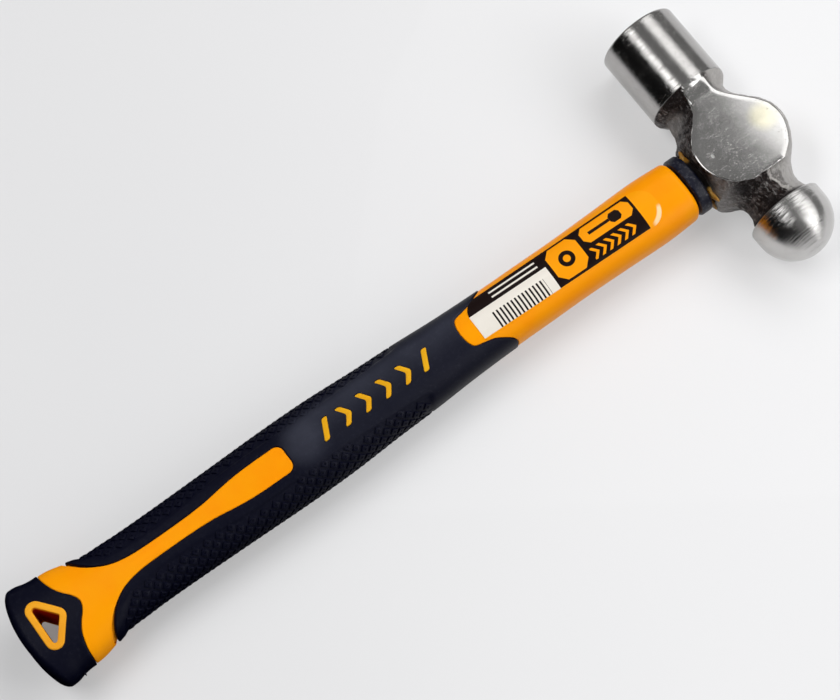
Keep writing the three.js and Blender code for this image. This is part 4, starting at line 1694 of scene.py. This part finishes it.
@dataclass
class InlayMarks:
    """Amber marks let into the grip's smooth strip on both faces."""

    row_start: float = -178.5
    pitch: float = 8.2
    height: float = 7.4
    stroke: float = 2.2
    point: float = 2.6
    slant: float = 1.8
    count: int = 6
    corner: float = 0.75
    proud: float = 0.05
    gap: float = 0.14
    floor: float = 9.2

    def outlines(self) -> list[np.ndarray]:
        """Draws the plan outline of each mark, a bar at each end of the arrowheads."""
        high, half, slant = self.height / 2, self.stroke / 2, self.slant
        bar = [(-half - slant, -high), (half - slant, -high)]
        bar += [(half + slant, high), (slant - half, high)]
        rear = -(self.point + self.stroke) / 2
        front = rear + self.stroke
        head = [(rear, -high), (front, -high), (front + self.point, 0)]
        head += [(front, high), (rear, high), (rear + self.point, 0)]
        middles = [self.row_start + self.pitch * (i + 0.5) for i in range(self.count)]
        shapes = [bar] + [head] * (self.count - 2) + [bar]
        return [np.array(shape) + np.array([middle, 0]) for shape, middle in zip(shapes, middles)]

    def build(self, finish: Finish) -> list[Piece]:
        """Makes all marks.

        Args:
            finish: their material.

        Returns:
            The marks.
        """
        made = []
        for i, outline in enumerate(self.outlines(), 1):
            for side, sign in (("front", 1), ("back", -1)):
                mark = Bench.plate(f"mark_{side}_{i}", outline, -0.9, 0.0, self.corner, 0.22)
                x, y, z = Bench.places(mark).T
                z = (z + FORM.height_at(x, y, -self.proud)) * sign
                Bench.put(mark, np.column_stack([x, y, z]))
                Bench.weld(mark, 0.0005)
                made.append(Bench.hand_in(mark, 60, Slot.AMBER, finish, f"inlay_mark_{side}_{i}"))
        return made

    def cut_from(self, sleeve: Piece) -> None:
        """Cuts the marks' recesses in the sleeve."""
        cutters = []
        for outline in self.outlines():
            middle = outline.mean(0)
            wider = middle + (outline - middle) * (1 + self.gap / self.stroke)
            for sign in (1, -1):
                cutter = Bench.plate("recess", wider, self.floor, 11.5, self.corner, 0)
                Bench.put(cutter, Bench.places(cutter) * np.array([1, 1, sign]))
                Bench.weld(cutter, 0.0005)
                cutters.append(cutter)
        Bench.combine(sleeve, Bench.joined("recesses", cutters), "DIFFERENCE")


@dataclass
class ProductLabel:
    """Printed film on the barrel, with a clear round front end."""

    rear: float = -112.6
    front: float = -35.6
    low: float = -6.3
    high: float = 8.7
    lean: float = -0.0190
    rear_low_corner: float = 0.8
    rear_high_corner: float = 6.5
    front_corner: float = 6.4
    under: float = 0.31
    film: float = 0.09

    def build(self, finish: Finish) -> Piece:
        """Makes the film.

        Args:
            finish: its material.

        Returns:
            The label.
        """
        near = np.array([0, 0.05, 0.12, 0.25, 0.45, 0.7, 1.0, 1.4, 1.9, 2.5, 3.2, 4, 5, 6.2])
        length = self.front - self.rear
        along = np.concatenate([near, np.linspace(7.5, length - 7.5, 60), length - near[::-1]])
        end = edge_drop(length - along, self.front_corner)
        low = self.low + along * self.lean + edge_drop(along, self.rear_low_corner) + end
        high = self.high + along * self.lean - edge_drop(along, self.rear_high_corner) - end
        across = [0, 0.006, 0.015, 0.03, *np.linspace(0.06, 0.94, 22), 0.97, 0.985, 0.994, 1]
        y = low[:, None] + (high - low)[:, None] * np.array(across)
        x = np.broadcast_to(self.rear + along[:, None], y.shape)
        z = FORM.height_at(x, y, self.under - self.film)
        film = Bench.sheet("label_sheet", np.stack([x, y, z], -1))
        Bench.weld(film, 0.001)
        Bench.face_out(film)
        Bench.finish_with(film, "SOLIDIFY", thickness=self.film * MM, offset=-1, use_rim=True)
        return Bench.hand_in(film, 40, Slot.FILM, finish, "product_label")


# ---- head


@dataclass
class HammerHead:
    """Forged head: poll, cheeks, webs and ball, with the eye through it."""

    poll_radius: float = 15.0
    ball_radius: float = 14.25
    face: float = 55.9
    shoulder: float = 26.6
    flange: float = 27.1
    ball_centre: float = -31.9
    top: float = 20.6
    skirt: float = 17.2
    cheek_radius: float = 17.4
    cheek_height: float = 13.8
    # Share of the way to the shoulder or the flange, then shares of top, skirt, cheek toward the top,
    # cheek toward the skirt and height, and how square the sides are toward the top and the skirt
    slices: Rows = (
        (-1.09, 0.58, 0.68, 0.17, 0.1, 0.8, 0.4, 0.4),
        (-0.96, 0.62, 0.7, 0.2, 0.1, 0.83, 0.4, 0.4),
        (-0.88, 0.578, 0.65, 0.2, 0.1, 0.79, 0.35, 0.4),
        (-0.78, 0.539, 0.64, 0.22, 0.1, 0.78, 0.35, 0.45),
        (-0.69, 0.544, 0.657, 0.27, 0.12, 0.82, 0.35, 0.45),
        (-0.61, 0.592, 0.72, 0.37, 0.19, 0.92, 0.4, 0.5),
        (-0.565, 0.626, 0.78, 0.48, 0.29, 1, 0.45, 0.55),
        (-0.52, 0.67, 0.866, 0.58, 0.46, 1, 0.5, 0.6),
        (-0.465, 0.723, 0.965, 0.69, 0.6, 1, 0.6, 0.7),
        (-0.41, 0.785, 1, 0.78, 0.7, 1, 0.7, 0.75),
        (-0.26, 0.912, 1, 0.92, 0.86, 1, 0.75, 0.8),
        (-0.11, 0.975, 1, 1, 0.945, 1, 0.75, 0.8),
        (0, 1, 1, 1.01, 0.96, 1, 0.75, 0.8),
        (0.11, 0.985, 1, 0.98, 0.945, 1, 0.75, 0.8),
        (0.17, 0.97, 1, 0.95, 0.915, 1, 0.75, 0.8),
        (0.3, 0.912, 1, 0.81, 0.8, 1, 0.65, 0.8),
        (0.41, 0.828, 1, 0.66, 0.66, 1, 0.5, 0.75),
        (0.46, 0.785, 0.98, 0.59, 0.58, 1, 0.45, 0.7),
        (0.51, 0.742, 0.907, 0.52, 0.51, 1, 0.4, 0.55),
        (0.6, 0.683, 0.815, 0.41, 0.4, 1, 0.3, 0.4),
        (0.69, 0.641, 0.773, 0.32, 0.32, 1, 0.25, 0.25),
        (0.8, 0.612, 0.762, 0.27, 0.28, 1, 0.2, 0.2),
        (0.94, 0.626, 0.785, 0.25, 0.25, 1.035, 0.25, 0.25),
        (1.05, 0.655, 0.81, 0.17, 0.17, 1.06, 0.3, 0.3),
    )
    # Slices of the body: first and last share, and how many
    spans: Rows = ((-1.09, -0.4, 80), (-0.39, 0.39, 70), (0.4, 1.03, 84))
    side_points: int = 26
    flat_points: int = 40
    crown_radius: float = 270.0
    crown_middle: float = -2.0
    crown_reach: float = 22.0
    twist: float = 0.0025
    twist_reach: float = 20.0
    roll: float = 0.34
    roll_reach: float = 1.9
    ramp_from: float = 20.6
    ramp_curve: float = 1.3
    cheek_end: float = -15.6
    scale_depth: float = 0.34
    margin: float = 0.12
    poll_edge: float = 0.9
    poll_face: tuple[float, ...] = (12.0, 6.0, 0.4)
    # Poll's neck: how far under the shoulder, and radius
    poll_neck: Rows = ((6, 10.5), (2.7, 13.65), (1.65, 14.55), (0.75, 14.88), (0.3, 14.97))
    # Ball's rim: how far past the flange, and how far inside the ball's radius
    ball_rim: Rows = ((-0.05, 6.25), (0, 0.6), (0.18, 0.25), (0.6, 0))
    # Forged hollows that get painted shade: middle across, along and up, and how far each reaches
    hollows: Rows = (
        (-10.5, 23.2, 11.0, 4.2),
        (-7.5, 24.4, 12.4, 3.0),
        (-10.0, -16.0, 10.5, 3.6),
        (-4.5, -24.8, 9.0, 3.0),
    )
    # Eye: share of the depth, then flare toward the skirt and toward the top
    eye_rows: Rows = (
        (0, 1, 0), (0.07, 0.4, 0), (0.3, 0, 0), (0.6, 0, 0.1), (0.85, 0, 0.55), (1, 0, 1),
    )
    eye_half: tuple[float, float] = (8.9, 6.6)
    skirt_flare: float = 1.5
    top_flare: float = 1.0

    def build(self, finish: Finish) -> Piece:
        """Makes the head.

        Args:
            finish: its material.

        Returns:
            The head.
        """
        head = self._body()
        Bench.combine(head, self._poll(), "UNION")
        Bench.combine(head, self._ball(), "UNION")
        Bench.combine(head, self._eye(), "DIFFERENCE")
        self._weather(head)
        return Bench.hand_in(head, 38, Slot.STEEL, finish, "hammer_head")

    def _row(self, at: float) -> list[float]:
        """Reads one slice of the table, with its first five values in millimetres."""
        table = [Shares(tuple((row[0], row[c]) for row in self.slices)) for c in range(1, 8)]
        shares = [float(column.at(at)) for column in table]
        shares[4] = min(shares[4], 1.0)
        whole = (self.top, self.skirt, self.cheek_radius, self.cheek_radius, self.cheek_height)
        return [share * size for share, size in zip(shares, (*whole, 1.0, 1.0))]

    def _place(self, at: float) -> float:
        """Gives a slice's place along the head."""
        return at * (self.shoulder if at > 0 else self.flange)

    def _sides(self) -> tuple[np.ndarray, np.ndarray]:
        """Draws the cheek's two sides, toward the skirt and toward the top, each from the neck on."""
        places = np.linspace(self.cheek_end / self.flange, 1.05, 160)
        rows = [(self._row(at), self._place(at)) for at in places]
        return np.array([(-row[3], y) for row, y in rows]), np.array([(row[2], y) for row, y in rows])

    def _cheek_at(self, x: np.ndarray, y: np.ndarray, high: np.ndarray) -> np.ndarray:
        """Gives the cheek's height: crowned, rolled off at its edge, and rising to the poll.

        Args:
            x: places across the head.
            y: places along the head.
            high: height of the plain cheek.

        Returns:
            The heights.
        """
        away = np.hypot(x, y - self.crown_middle)
        crown = np.minimum(away, self.crown_reach) ** 2 / (2 * self.crown_radius)
        crown -= self.twist * x * np.where(y > 0, np.minimum(y, self.twist_reach), 0.3 * y)
        skirt_side, top_side = self._sides()
        edge = distance_to(np.stack([x, y], -1), np.vstack([skirt_side[::-1], top_side]))
        left = np.clip(1 - edge / self.roll_reach, 0, 1)
        roll = self.roll * (1 - np.sqrt(1 - left**2)) * ease(y, self.cheek_end - 3, self.cheek_end)
        ramp = np.clip((y - self.ramp_from) / (self.shoulder - self.ramp_from), 0, 1)
        ramp = ramp**self.ramp_curve
        poll = np.sqrt(np.maximum(self.poll_radius**2 - x**2, 1))
        poll -= 0.3 * np.maximum(y - self.shoulder, 0)
        plain = high - crown - roll * (1 - ramp)
        return plain + (poll - plain) * ramp

    def _body(self) -> Piece:
        """Makes the forging between poll and ball, slice by slice."""
        places = np.concatenate([np.linspace(*span) for span in self.spans])
        rows = [self._row(at) for at in places]
        spread = (1 - np.cos(np.linspace(0, math.pi, self.flat_points + 2))) / 2
        flat_x = np.array([-row[3] + (row[2] + row[3]) * spread for row in rows])
        y = np.array([self._place(at) for at in places])
        flat_y = np.broadcast_to(y[:, None], flat_x.shape)
        flat_z = self._cheek_at(flat_x, flat_y, np.array([row[4] for row in rows])[:, None])
        rings = []
        for k, row in enumerate(rows):
            left = self._side(row[1], row[3], flat_z[k, 0], row[6])[::-1] * np.array([-1, 1])
            right = self._side(row[0], row[2], flat_z[k, -1], row[5])
            flat = np.column_stack([flat_x[k], flat_z[k]])[1:-1]
            upper = np.vstack([left, flat, right])
            lower = upper[1:-1][::-1] * np.array([1, -1])
            ring = np.vstack([upper, lower, upper[:1]])
            rings.append(np.column_stack([ring[:, 0], np.full(len(ring), y[k]), ring[:, 1]]))
        return Bench.tube("forged_head", np.array(rings))

    def _weather(self, head: Piece) -> None:
        """Marks on the mesh the ground places and the painted shade of the hollows, and makes the
        forged ones uneven.
        """
        places = Bench.places(head)
        x, y, z = places.T
        radius = np.hypot(x, z)
        turned = (y > self.shoulder - 0.02) & (radius > 12.4)
        turned |= (y < -self.flange + 0.02) | (y > self.face - 1)
        cheek = np.zeros(len(places), bool)
        low, high = (np.interp(y, side[:, 1], side[:, 0]) for side in self._sides())
        inside = (x > low - self.margin) & (x < high + self.margin)
        inside &= (y > self.cheek_end - 0.2) & (y < self.shoulder + 1)
        index = np.nonzero(inside & (np.abs(z) > 12.0))[0]
        height = self._cheek_at(x[index], y[index], np.full(len(index), self.cheek_height))
        cheek[index] = np.abs(z[index]) > height - self.margin
        ground = (turned | cheek).astype(float)
        # Painted shade: dark in each forged hollow and in the undercut behind the ball's flange
        painted_hollow_shade = np.zeros(len(places))
        for cx, cy, cz, size in self.hollows:
            gap = np.sqrt((x - cx) ** 2 + (y - cy) ** 2 + (np.abs(z) - cz) ** 2)
            painted_hollow_shade = np.maximum(painted_hollow_shade, 0.85 * (1 - ease(gap, size * 0.4, size * 1.25)))
        under = 1 - ease(np.abs(y + self.flange), 0.8, 2.6)
        painted_hollow_shade = np.maximum(painted_hollow_shade, under) * (1 - ground)
        normals = np.empty(len(places) * 3)
        head.data.vertex_normals.foreach_get("vector", normals)
        lumps = np.array([noise.fractal(Vector(p) * 0.3, 0.62, 2.2, 4) for p in places])
        sink = self.scale_depth * np.clip(0.5 + lumps, 0, 1.4) * (1 - ground)
        settle = ease(np.minimum(np.abs(y - self.shoulder), np.abs(y + self.flange)), 0.05, 0.8)
        Bench.put(head, places - normals.reshape(-1, 3) * (sink * settle)[:, None])
        for name, values in (("ground", ground), ("painted_hollow_shade", painted_hollow_shade)):
            layer = head.data.attributes.new(name, "FLOAT", "POINT")
            layer.data.foreach_set("value", values.astype(np.float32))

    def _side(self, wide: float, cheek: float, high: float, square: float) -> np.ndarray:
        """Draws one side of a slice.

        Args:
            wide: how far it reaches at the middle plane.
            cheek: how far the cheek reaches.
            high: the cheek's height there.
            square: how square the side is.

        Returns:
            Points from the cheek's edge down to the middle plane.
        """
        corner, start, end = np.array([wide, high]), np.array([cheek, high]), np.array([wide, 0])
        control = (start + end) / 2 * (1 - square) + corner * square
        t = np.linspace(0, 1, self.side_points)[:, None]
        return (1 - t) ** 2 * start + 2 * t * (1 - t) * control + t**2 * end

    def _poll(self) -> Piece:
        """Turns the poll."""
        r, s, edge = self.poll_radius, self.shoulder, self.poll_edge
        rings = [(s - under, radius) for under, radius in self.poll_neck]
        rings += [(p, r) for p in (s, s + 0.5, self.face - 6, self.face - 1.6, self.face - edge)]
        rings += [(self.face - edge + edge * sin, r - edge * (1 - cos)) for sin, cos in quarter(6)]
        rings += [(self.face, radius) for radius in self.poll_face]
        return Bench.drawn("poll", Axis.HEAD, [(p, a, a) for p, a in rings], 144, True)

    def _ball(self) -> Piece:
        """Turns the ball."""
        r, c = self.ball_radius, self.ball_centre
        rings = [(-self.flange - past, r - inside) for past, inside in self.ball_rim]
        rings += [(c + 1, r), (c, r)]
        rings += [(c - r * sin, r * cos) for sin, cos in quarter(31)[:-1]]
        return Bench.drawn("ball", Axis.HEAD, [(p, a, a) for p, a in rings], 144, True)

    def _eye(self) -> Piece:
        """Makes the cutter for the eye, wide at both mouths."""
        depth = self.top + self.skirt
        rings = []
        for at, skirt, top in self.eye_rows:
            flare = skirt * self.skirt_flare + top * self.top_flare
            rings.append((at * depth - self.skirt, *(half + flare for half in self.eye_half)))
        first, last = rings[0], rings[-1]
        rings = [(first[0] - 2, *first[1:]), *rings, (last[0] + 2, *last[1:])]
        return Bench.drawn("eye", Axis.HANDLE, rings, 72)


# ---- neck


@dataclass
class NeckFittings:
    """Rod, resin and collar that join the handle to the head."""

    collar_rear: float = -23.2
    collar_front: float = -18.6
    collar_edge: float = 0.8
    collar_face: float = 0.3
    collar_dish: float = 0.02
    collar_lands: tuple[float, float] = (1.6, 1.4)
    collar_bore: tuple[float, float] = (7.6, 4.8)
    collar_half: tuple[float, float] = (11.5, 9.1)
    rod_half: tuple[float, float] = (7.2, 4.4)
    rod_middle: float = -100.0
    # Rod: place and edge of its rear end, then of its front end
    rod_ends: Rows = ((-266.5, 0.3), (17.3, 0.2))
    # Resin, ring by ring: place along the handle, half width and half height
    resin_tip: Rows = ((-18.4, 7.25, 4.45), (-18.35, 7.35, 4.55))
    resin_body: Rows = (
        (-14.0, 8.6, 6.3), (-6.0, 8.6, 6.3), (5.4, 8.6, 6.3), (12.0, 8.9, 6.6), (17.2, 9.3, 7.0),
    )
    # Beside the drops: first ring, end and step, then half width and half height
    drop_rings: tuple[float, float, float] = (-18.1, -14.9, 0.3)
    drop_half: tuple[float, float] = (7.4, 4.6)
    drop_place: float = -16.9
    drop_reach: float = 1.35
    drop_ripple: float = 0.35
    # Drops: angle round the rod, width and height
    drops: Rows = ((0.44, 0.17, 4.8), (2.8, 0.2, 5.8))

    def collar(self, finish: Finish) -> Piece:
        """Makes the black ring between jacket and skirt.

        Args:
            finish: its material.

        Returns:
            The collar.
        """
        a, b, edge = self.collar_rear, self.collar_front, self.collar_edge
        (wide, high), (rear_land, front_land) = self.collar_half, self.collar_lands
        trim = edge + self.collar_face
        rings = [(a + self.collar_dish, *self.collar_bore), (a, wide - trim, high - trim)]
        for sin, cos in quarter(4):
            trim = edge * (1 - sin)
            rings.append((a + edge * (1 - cos), wide - trim, high - trim))
        rings += [(a + rear_land, wide, high), (b - front_land, wide, high)]
        for sin, cos in quarter(4):
            trim = edge * (1 - cos)
            rings.append((b - edge * (1 - sin), wide - trim, high - trim))
        rings.append((b - self.collar_dish, *self.collar_bore))
        ring = Bench.drawn("collar_ring", Axis.HANDLE, rings, 96)
        return Bench.hand_in(ring, 50, Slot.RUBBER, finish, "neck_collar")

    def resin(self, finish: Finish) -> Piece:
        """Makes the resin in the eye, with two drops that were squeezed out at the skirt.

        Args:
            finish: its material.

        Returns:
            The resin.
        """
        beside_drops = [(x, *self.drop_half) for x in np.arange(*self.drop_rings)]
        rings = [*self.resin_tip, *beside_drops, *self.resin_body]
        resin = Bench.drawn("resin_fill", Axis.HANDLE, rings, 128)
        places = Bench.places(resin)
        x, y, z = places.T
        angle = np.arctan2(np.abs(z), y)
        swell = np.zeros(len(places))
        for middle, width, size in self.drops:
            away = ((angle - middle) / width) ** 2 + ((x - self.drop_place) / self.drop_reach) ** 2
            swell = np.maximum(swell, size * np.exp(-away))
        uneven = np.array([noise.noise(Vector(p) * 0.8) for p in places])
        swell = swell * (1 + self.drop_ripple * uneven)
        places[:, 1:] += places[:, 1:] * (swell / np.maximum(np.hypot(y, z), 1e-6))[:, None]
        Bench.put(resin, places)
        return Bench.hand_in(resin, 60, Slot.RESIN, finish, "eye_epoxy")

    def rod(self, finish: Finish) -> Piece:
        """Makes the rod, with its sawn end in the eye.

        Args:
            finish: its material.

        Returns:
            The rod.
        """
        wide, high = self.rod_half
        (rear, rear_edge), (front, front_edge) = self.rod_ends
        rings = [(rear, wide - rear_edge, high - rear_edge), (rear + rear_edge, wide, high)]
        rings += [(self.rod_middle, wide, high), (front - front_edge, wide, high)]
        rings.append((front, wide - front_edge, high - front_edge))
        rod = Bench.drawn("glass_rod", Axis.HANDLE, rings, 64)
        return Bench.hand_in(rod, 40, Slot.GLASS, finish, "fibreglass_rod")


# ---- studio


@dataclass
class Studio:
    """Pale sheet, soft lamps, sky and camera."""

    camera_at: tuple[float, float, float] = (-0.14244, -0.25761, 0.84951)
    right: tuple[float, float, float] = (0.8082699, -0.5876010, -0.0377460)
    up: tuple[float, float, float] = (0.5640990, 0.7543760, 0.3357219)
    forward: tuple[float, float, float] = (0.1687959, 0.2926464, -0.9412046)
    focal_pixels: float = 2600.0
    frame_pixels: float = 840.0
    sensor: float = 36.0
    sky: float = 0.24
    shade: float = 0.15
    lit: tuple[float, float, float] = (0.1, 0.0, 0.015)
    away: float = 1.3

    def build(self) -> None:
        """Sets up the sheet, the lamps, the sky and the camera."""
        self._floor()
        self._lamp("window_left", (150, 62), 0, (0.80, 0.32), 9.3, 3.2)
        self._lamp("window_right", (-3, 48.0), 16, (2.60, 0.64), 5.0, 1.8)
        self._lamp("strip_low", (-60, 33), 0, (0.32, 1.3), 3.2, 3.2)
        self._world()
        self._camera()

    def _floor(self) -> None:
        """Lays the sheet under the hammer."""
        Bench.clear()
        bpy.ops.mesh.primitive_plane_add(size=8.0, location=(0, 0, -0.0002))
        floor = Bench.fresh("paper_sheet")
        floor.data.materials.append(StudioPaper().material())

    def _lamp(
        self,
        name: str,
        toward: tuple[float, float],
        roll: float,
        size: tuple[float, float],
        light: float,
        shine: float,
    ) -> None:
        """Hangs a soft panel that faces the hammer's head.

        Args:
            name: the lamp's name.
            toward: degrees round from +x and degrees above the sheet.
            roll: degrees that its right end is raised.
            size: its width and height in metres.
            light: how brightly it lights matt surfaces.
            shine: how bright it looks in the metal.
        """
        a, e, r = (math.radians(v) for v in (*toward, roll))
        to = Vector((math.cos(e) * math.cos(a), math.cos(e) * math.sin(a), math.sin(e)))
        level = Vector((-math.sin(a), math.cos(a), 0))
        across = level * math.cos(r) + to.cross(level) * math.sin(r)
        turn = Matrix((across, to.cross(across), to)).transposed().to_4x4()
        for part, radiance in (("panel", shine), ("fill", light - shine)):
            if radiance <= 0:
                continue
            data = bpy.data.lights.new(f"{name}_{part}", "AREA")
            data.shape = "RECTANGLE"
            data.size, data.size_y = size
            data.energy = radiance * math.pi * size[0] * size[1]
            lamp = bpy.data.objects.new(data.name, data)
            lamp.visible_glossy = part == "panel"
            bpy.context.scene.collection.objects.link(lamp)
            lamp.matrix_world = Matrix.Translation(Vector(self.lit) + to * self.away) @ turn

    def _world(self) -> None:
        """Paints the room: dim overhead, dark on the handle's side, white for the camera."""
        g = Graph("room", world=True)
        direction = g.out(g.node("ShaderNodeTexCoord", {}, {}), "Generated")

        def toward(x: float, y: float, z: float) -> Term:
            """Gives how closely the direction matches a given one."""
            inputs = {0: direction, 1: tuple(Vector((x, y, z)).normalized())}
            node = g.node("ShaderNodeVectorMath", {"operation": "DOT_PRODUCT"}, inputs)
            return g.out(node, "Value")

        dark = toward(-0.90, 0.08, 0.38).rise(0.5, 0.86)
        dark = dark.most(toward(-0.72, -0.46, 0.42).rise(0.7, 0.95) * 0.85)
        dark = dark.most(toward(-0.55, -0.82, 0.12).rise(0.82, 0.97) * 0.8)
        path = g.node("ShaderNodeLightPath", {}, {})
        level = g.out(path, "Is Glossy Ray") * (self.sky - self.shade) + self.shade
        level = (1 - dark * 0.97) * level
        plain = g.node("ShaderNodeBackground", {}, {"Color": (1, 1, 1, 1), "Strength": level})
        white = g.node("ShaderNodeBackground", {}, {"Color": tone(240, 240, 241), "Strength": 1.0})
        inputs = {0: g.out(path, "Is Camera Ray"), 1: g.out(plain), 2: g.out(white)}
        mix = g.node("ShaderNodeMixShader", {}, inputs)
        bpy.context.scene.world = g.end("ShaderNodeOutputWorld", mix)

    def _camera(self) -> None:
        """Sets the camera at the photograph's place and angle."""
        data = bpy.data.cameras.new("photo_camera")
        data.sensor_fit = "HORIZONTAL"
        data.sensor_width = self.sensor
        data.lens = self.focal_pixels / self.frame_pixels * self.sensor
        data.clip_start = 0.01
        camera = bpy.data.objects.new("photo_camera", data)
        bpy.context.scene.collection.objects.link(camera)
        back = -Vector(self.forward)
        turn = Matrix((Vector(self.right), Vector(self.up), back)).transposed().to_4x4()
        camera.matrix_world = Matrix.Translation(Vector(self.camera_at)) @ turn
        bpy.context.scene.camera = camera


# ---- all together


def main() -> None:
    """Builds the pieces in order."""
    logging.basicConfig(level=logging.INFO, format="%(message)s")
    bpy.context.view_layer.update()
    steel = HeadSteel().material()
    orange = MouldedPlastic("orange_skin", tone(255, 160, 1), tone(255, 151, 0)).material()
    amber = MouldedPlastic("amber_inlay", tone(236, 176, 30), tone(226, 162, 22), 0.42).material()
    # The liner's dark red deep in the hang hole is painted shade
    liner_finish = MouldedPlastic(
        "amber_liner", tone(244, 170, 40), tone(236, 156, 34), 0.42, inside=tone(176, 38, 8)
    )
    rubber = GripRubber().material()
    collar_finish = GripRubber("collar_rubber", tone(6, 8, 26), tone(150, 150, 156), 0.36, 0.3, 0.55)
    HammerHead().build(steel)
    neck = NeckFittings()
    neck.rod(PultrudedGlass().material())
    neck.resin(CuredResin().material())
    neck.collar(collar_finish.material())
    HandleJacket().build(orange)
    marks = InlayMarks()
    GripSleeve().build(rubber, marks)
    ButtCap().build(rubber)
    HoleLiner().build(liner_finish.material())
    marks.build(amber)
    ProductLabel().build(LabelPrint().material())
    Studio().build()
    bpy.context.scene.view_settings.view_transform = "Standard"


if __name__ == "__main__":
    main()
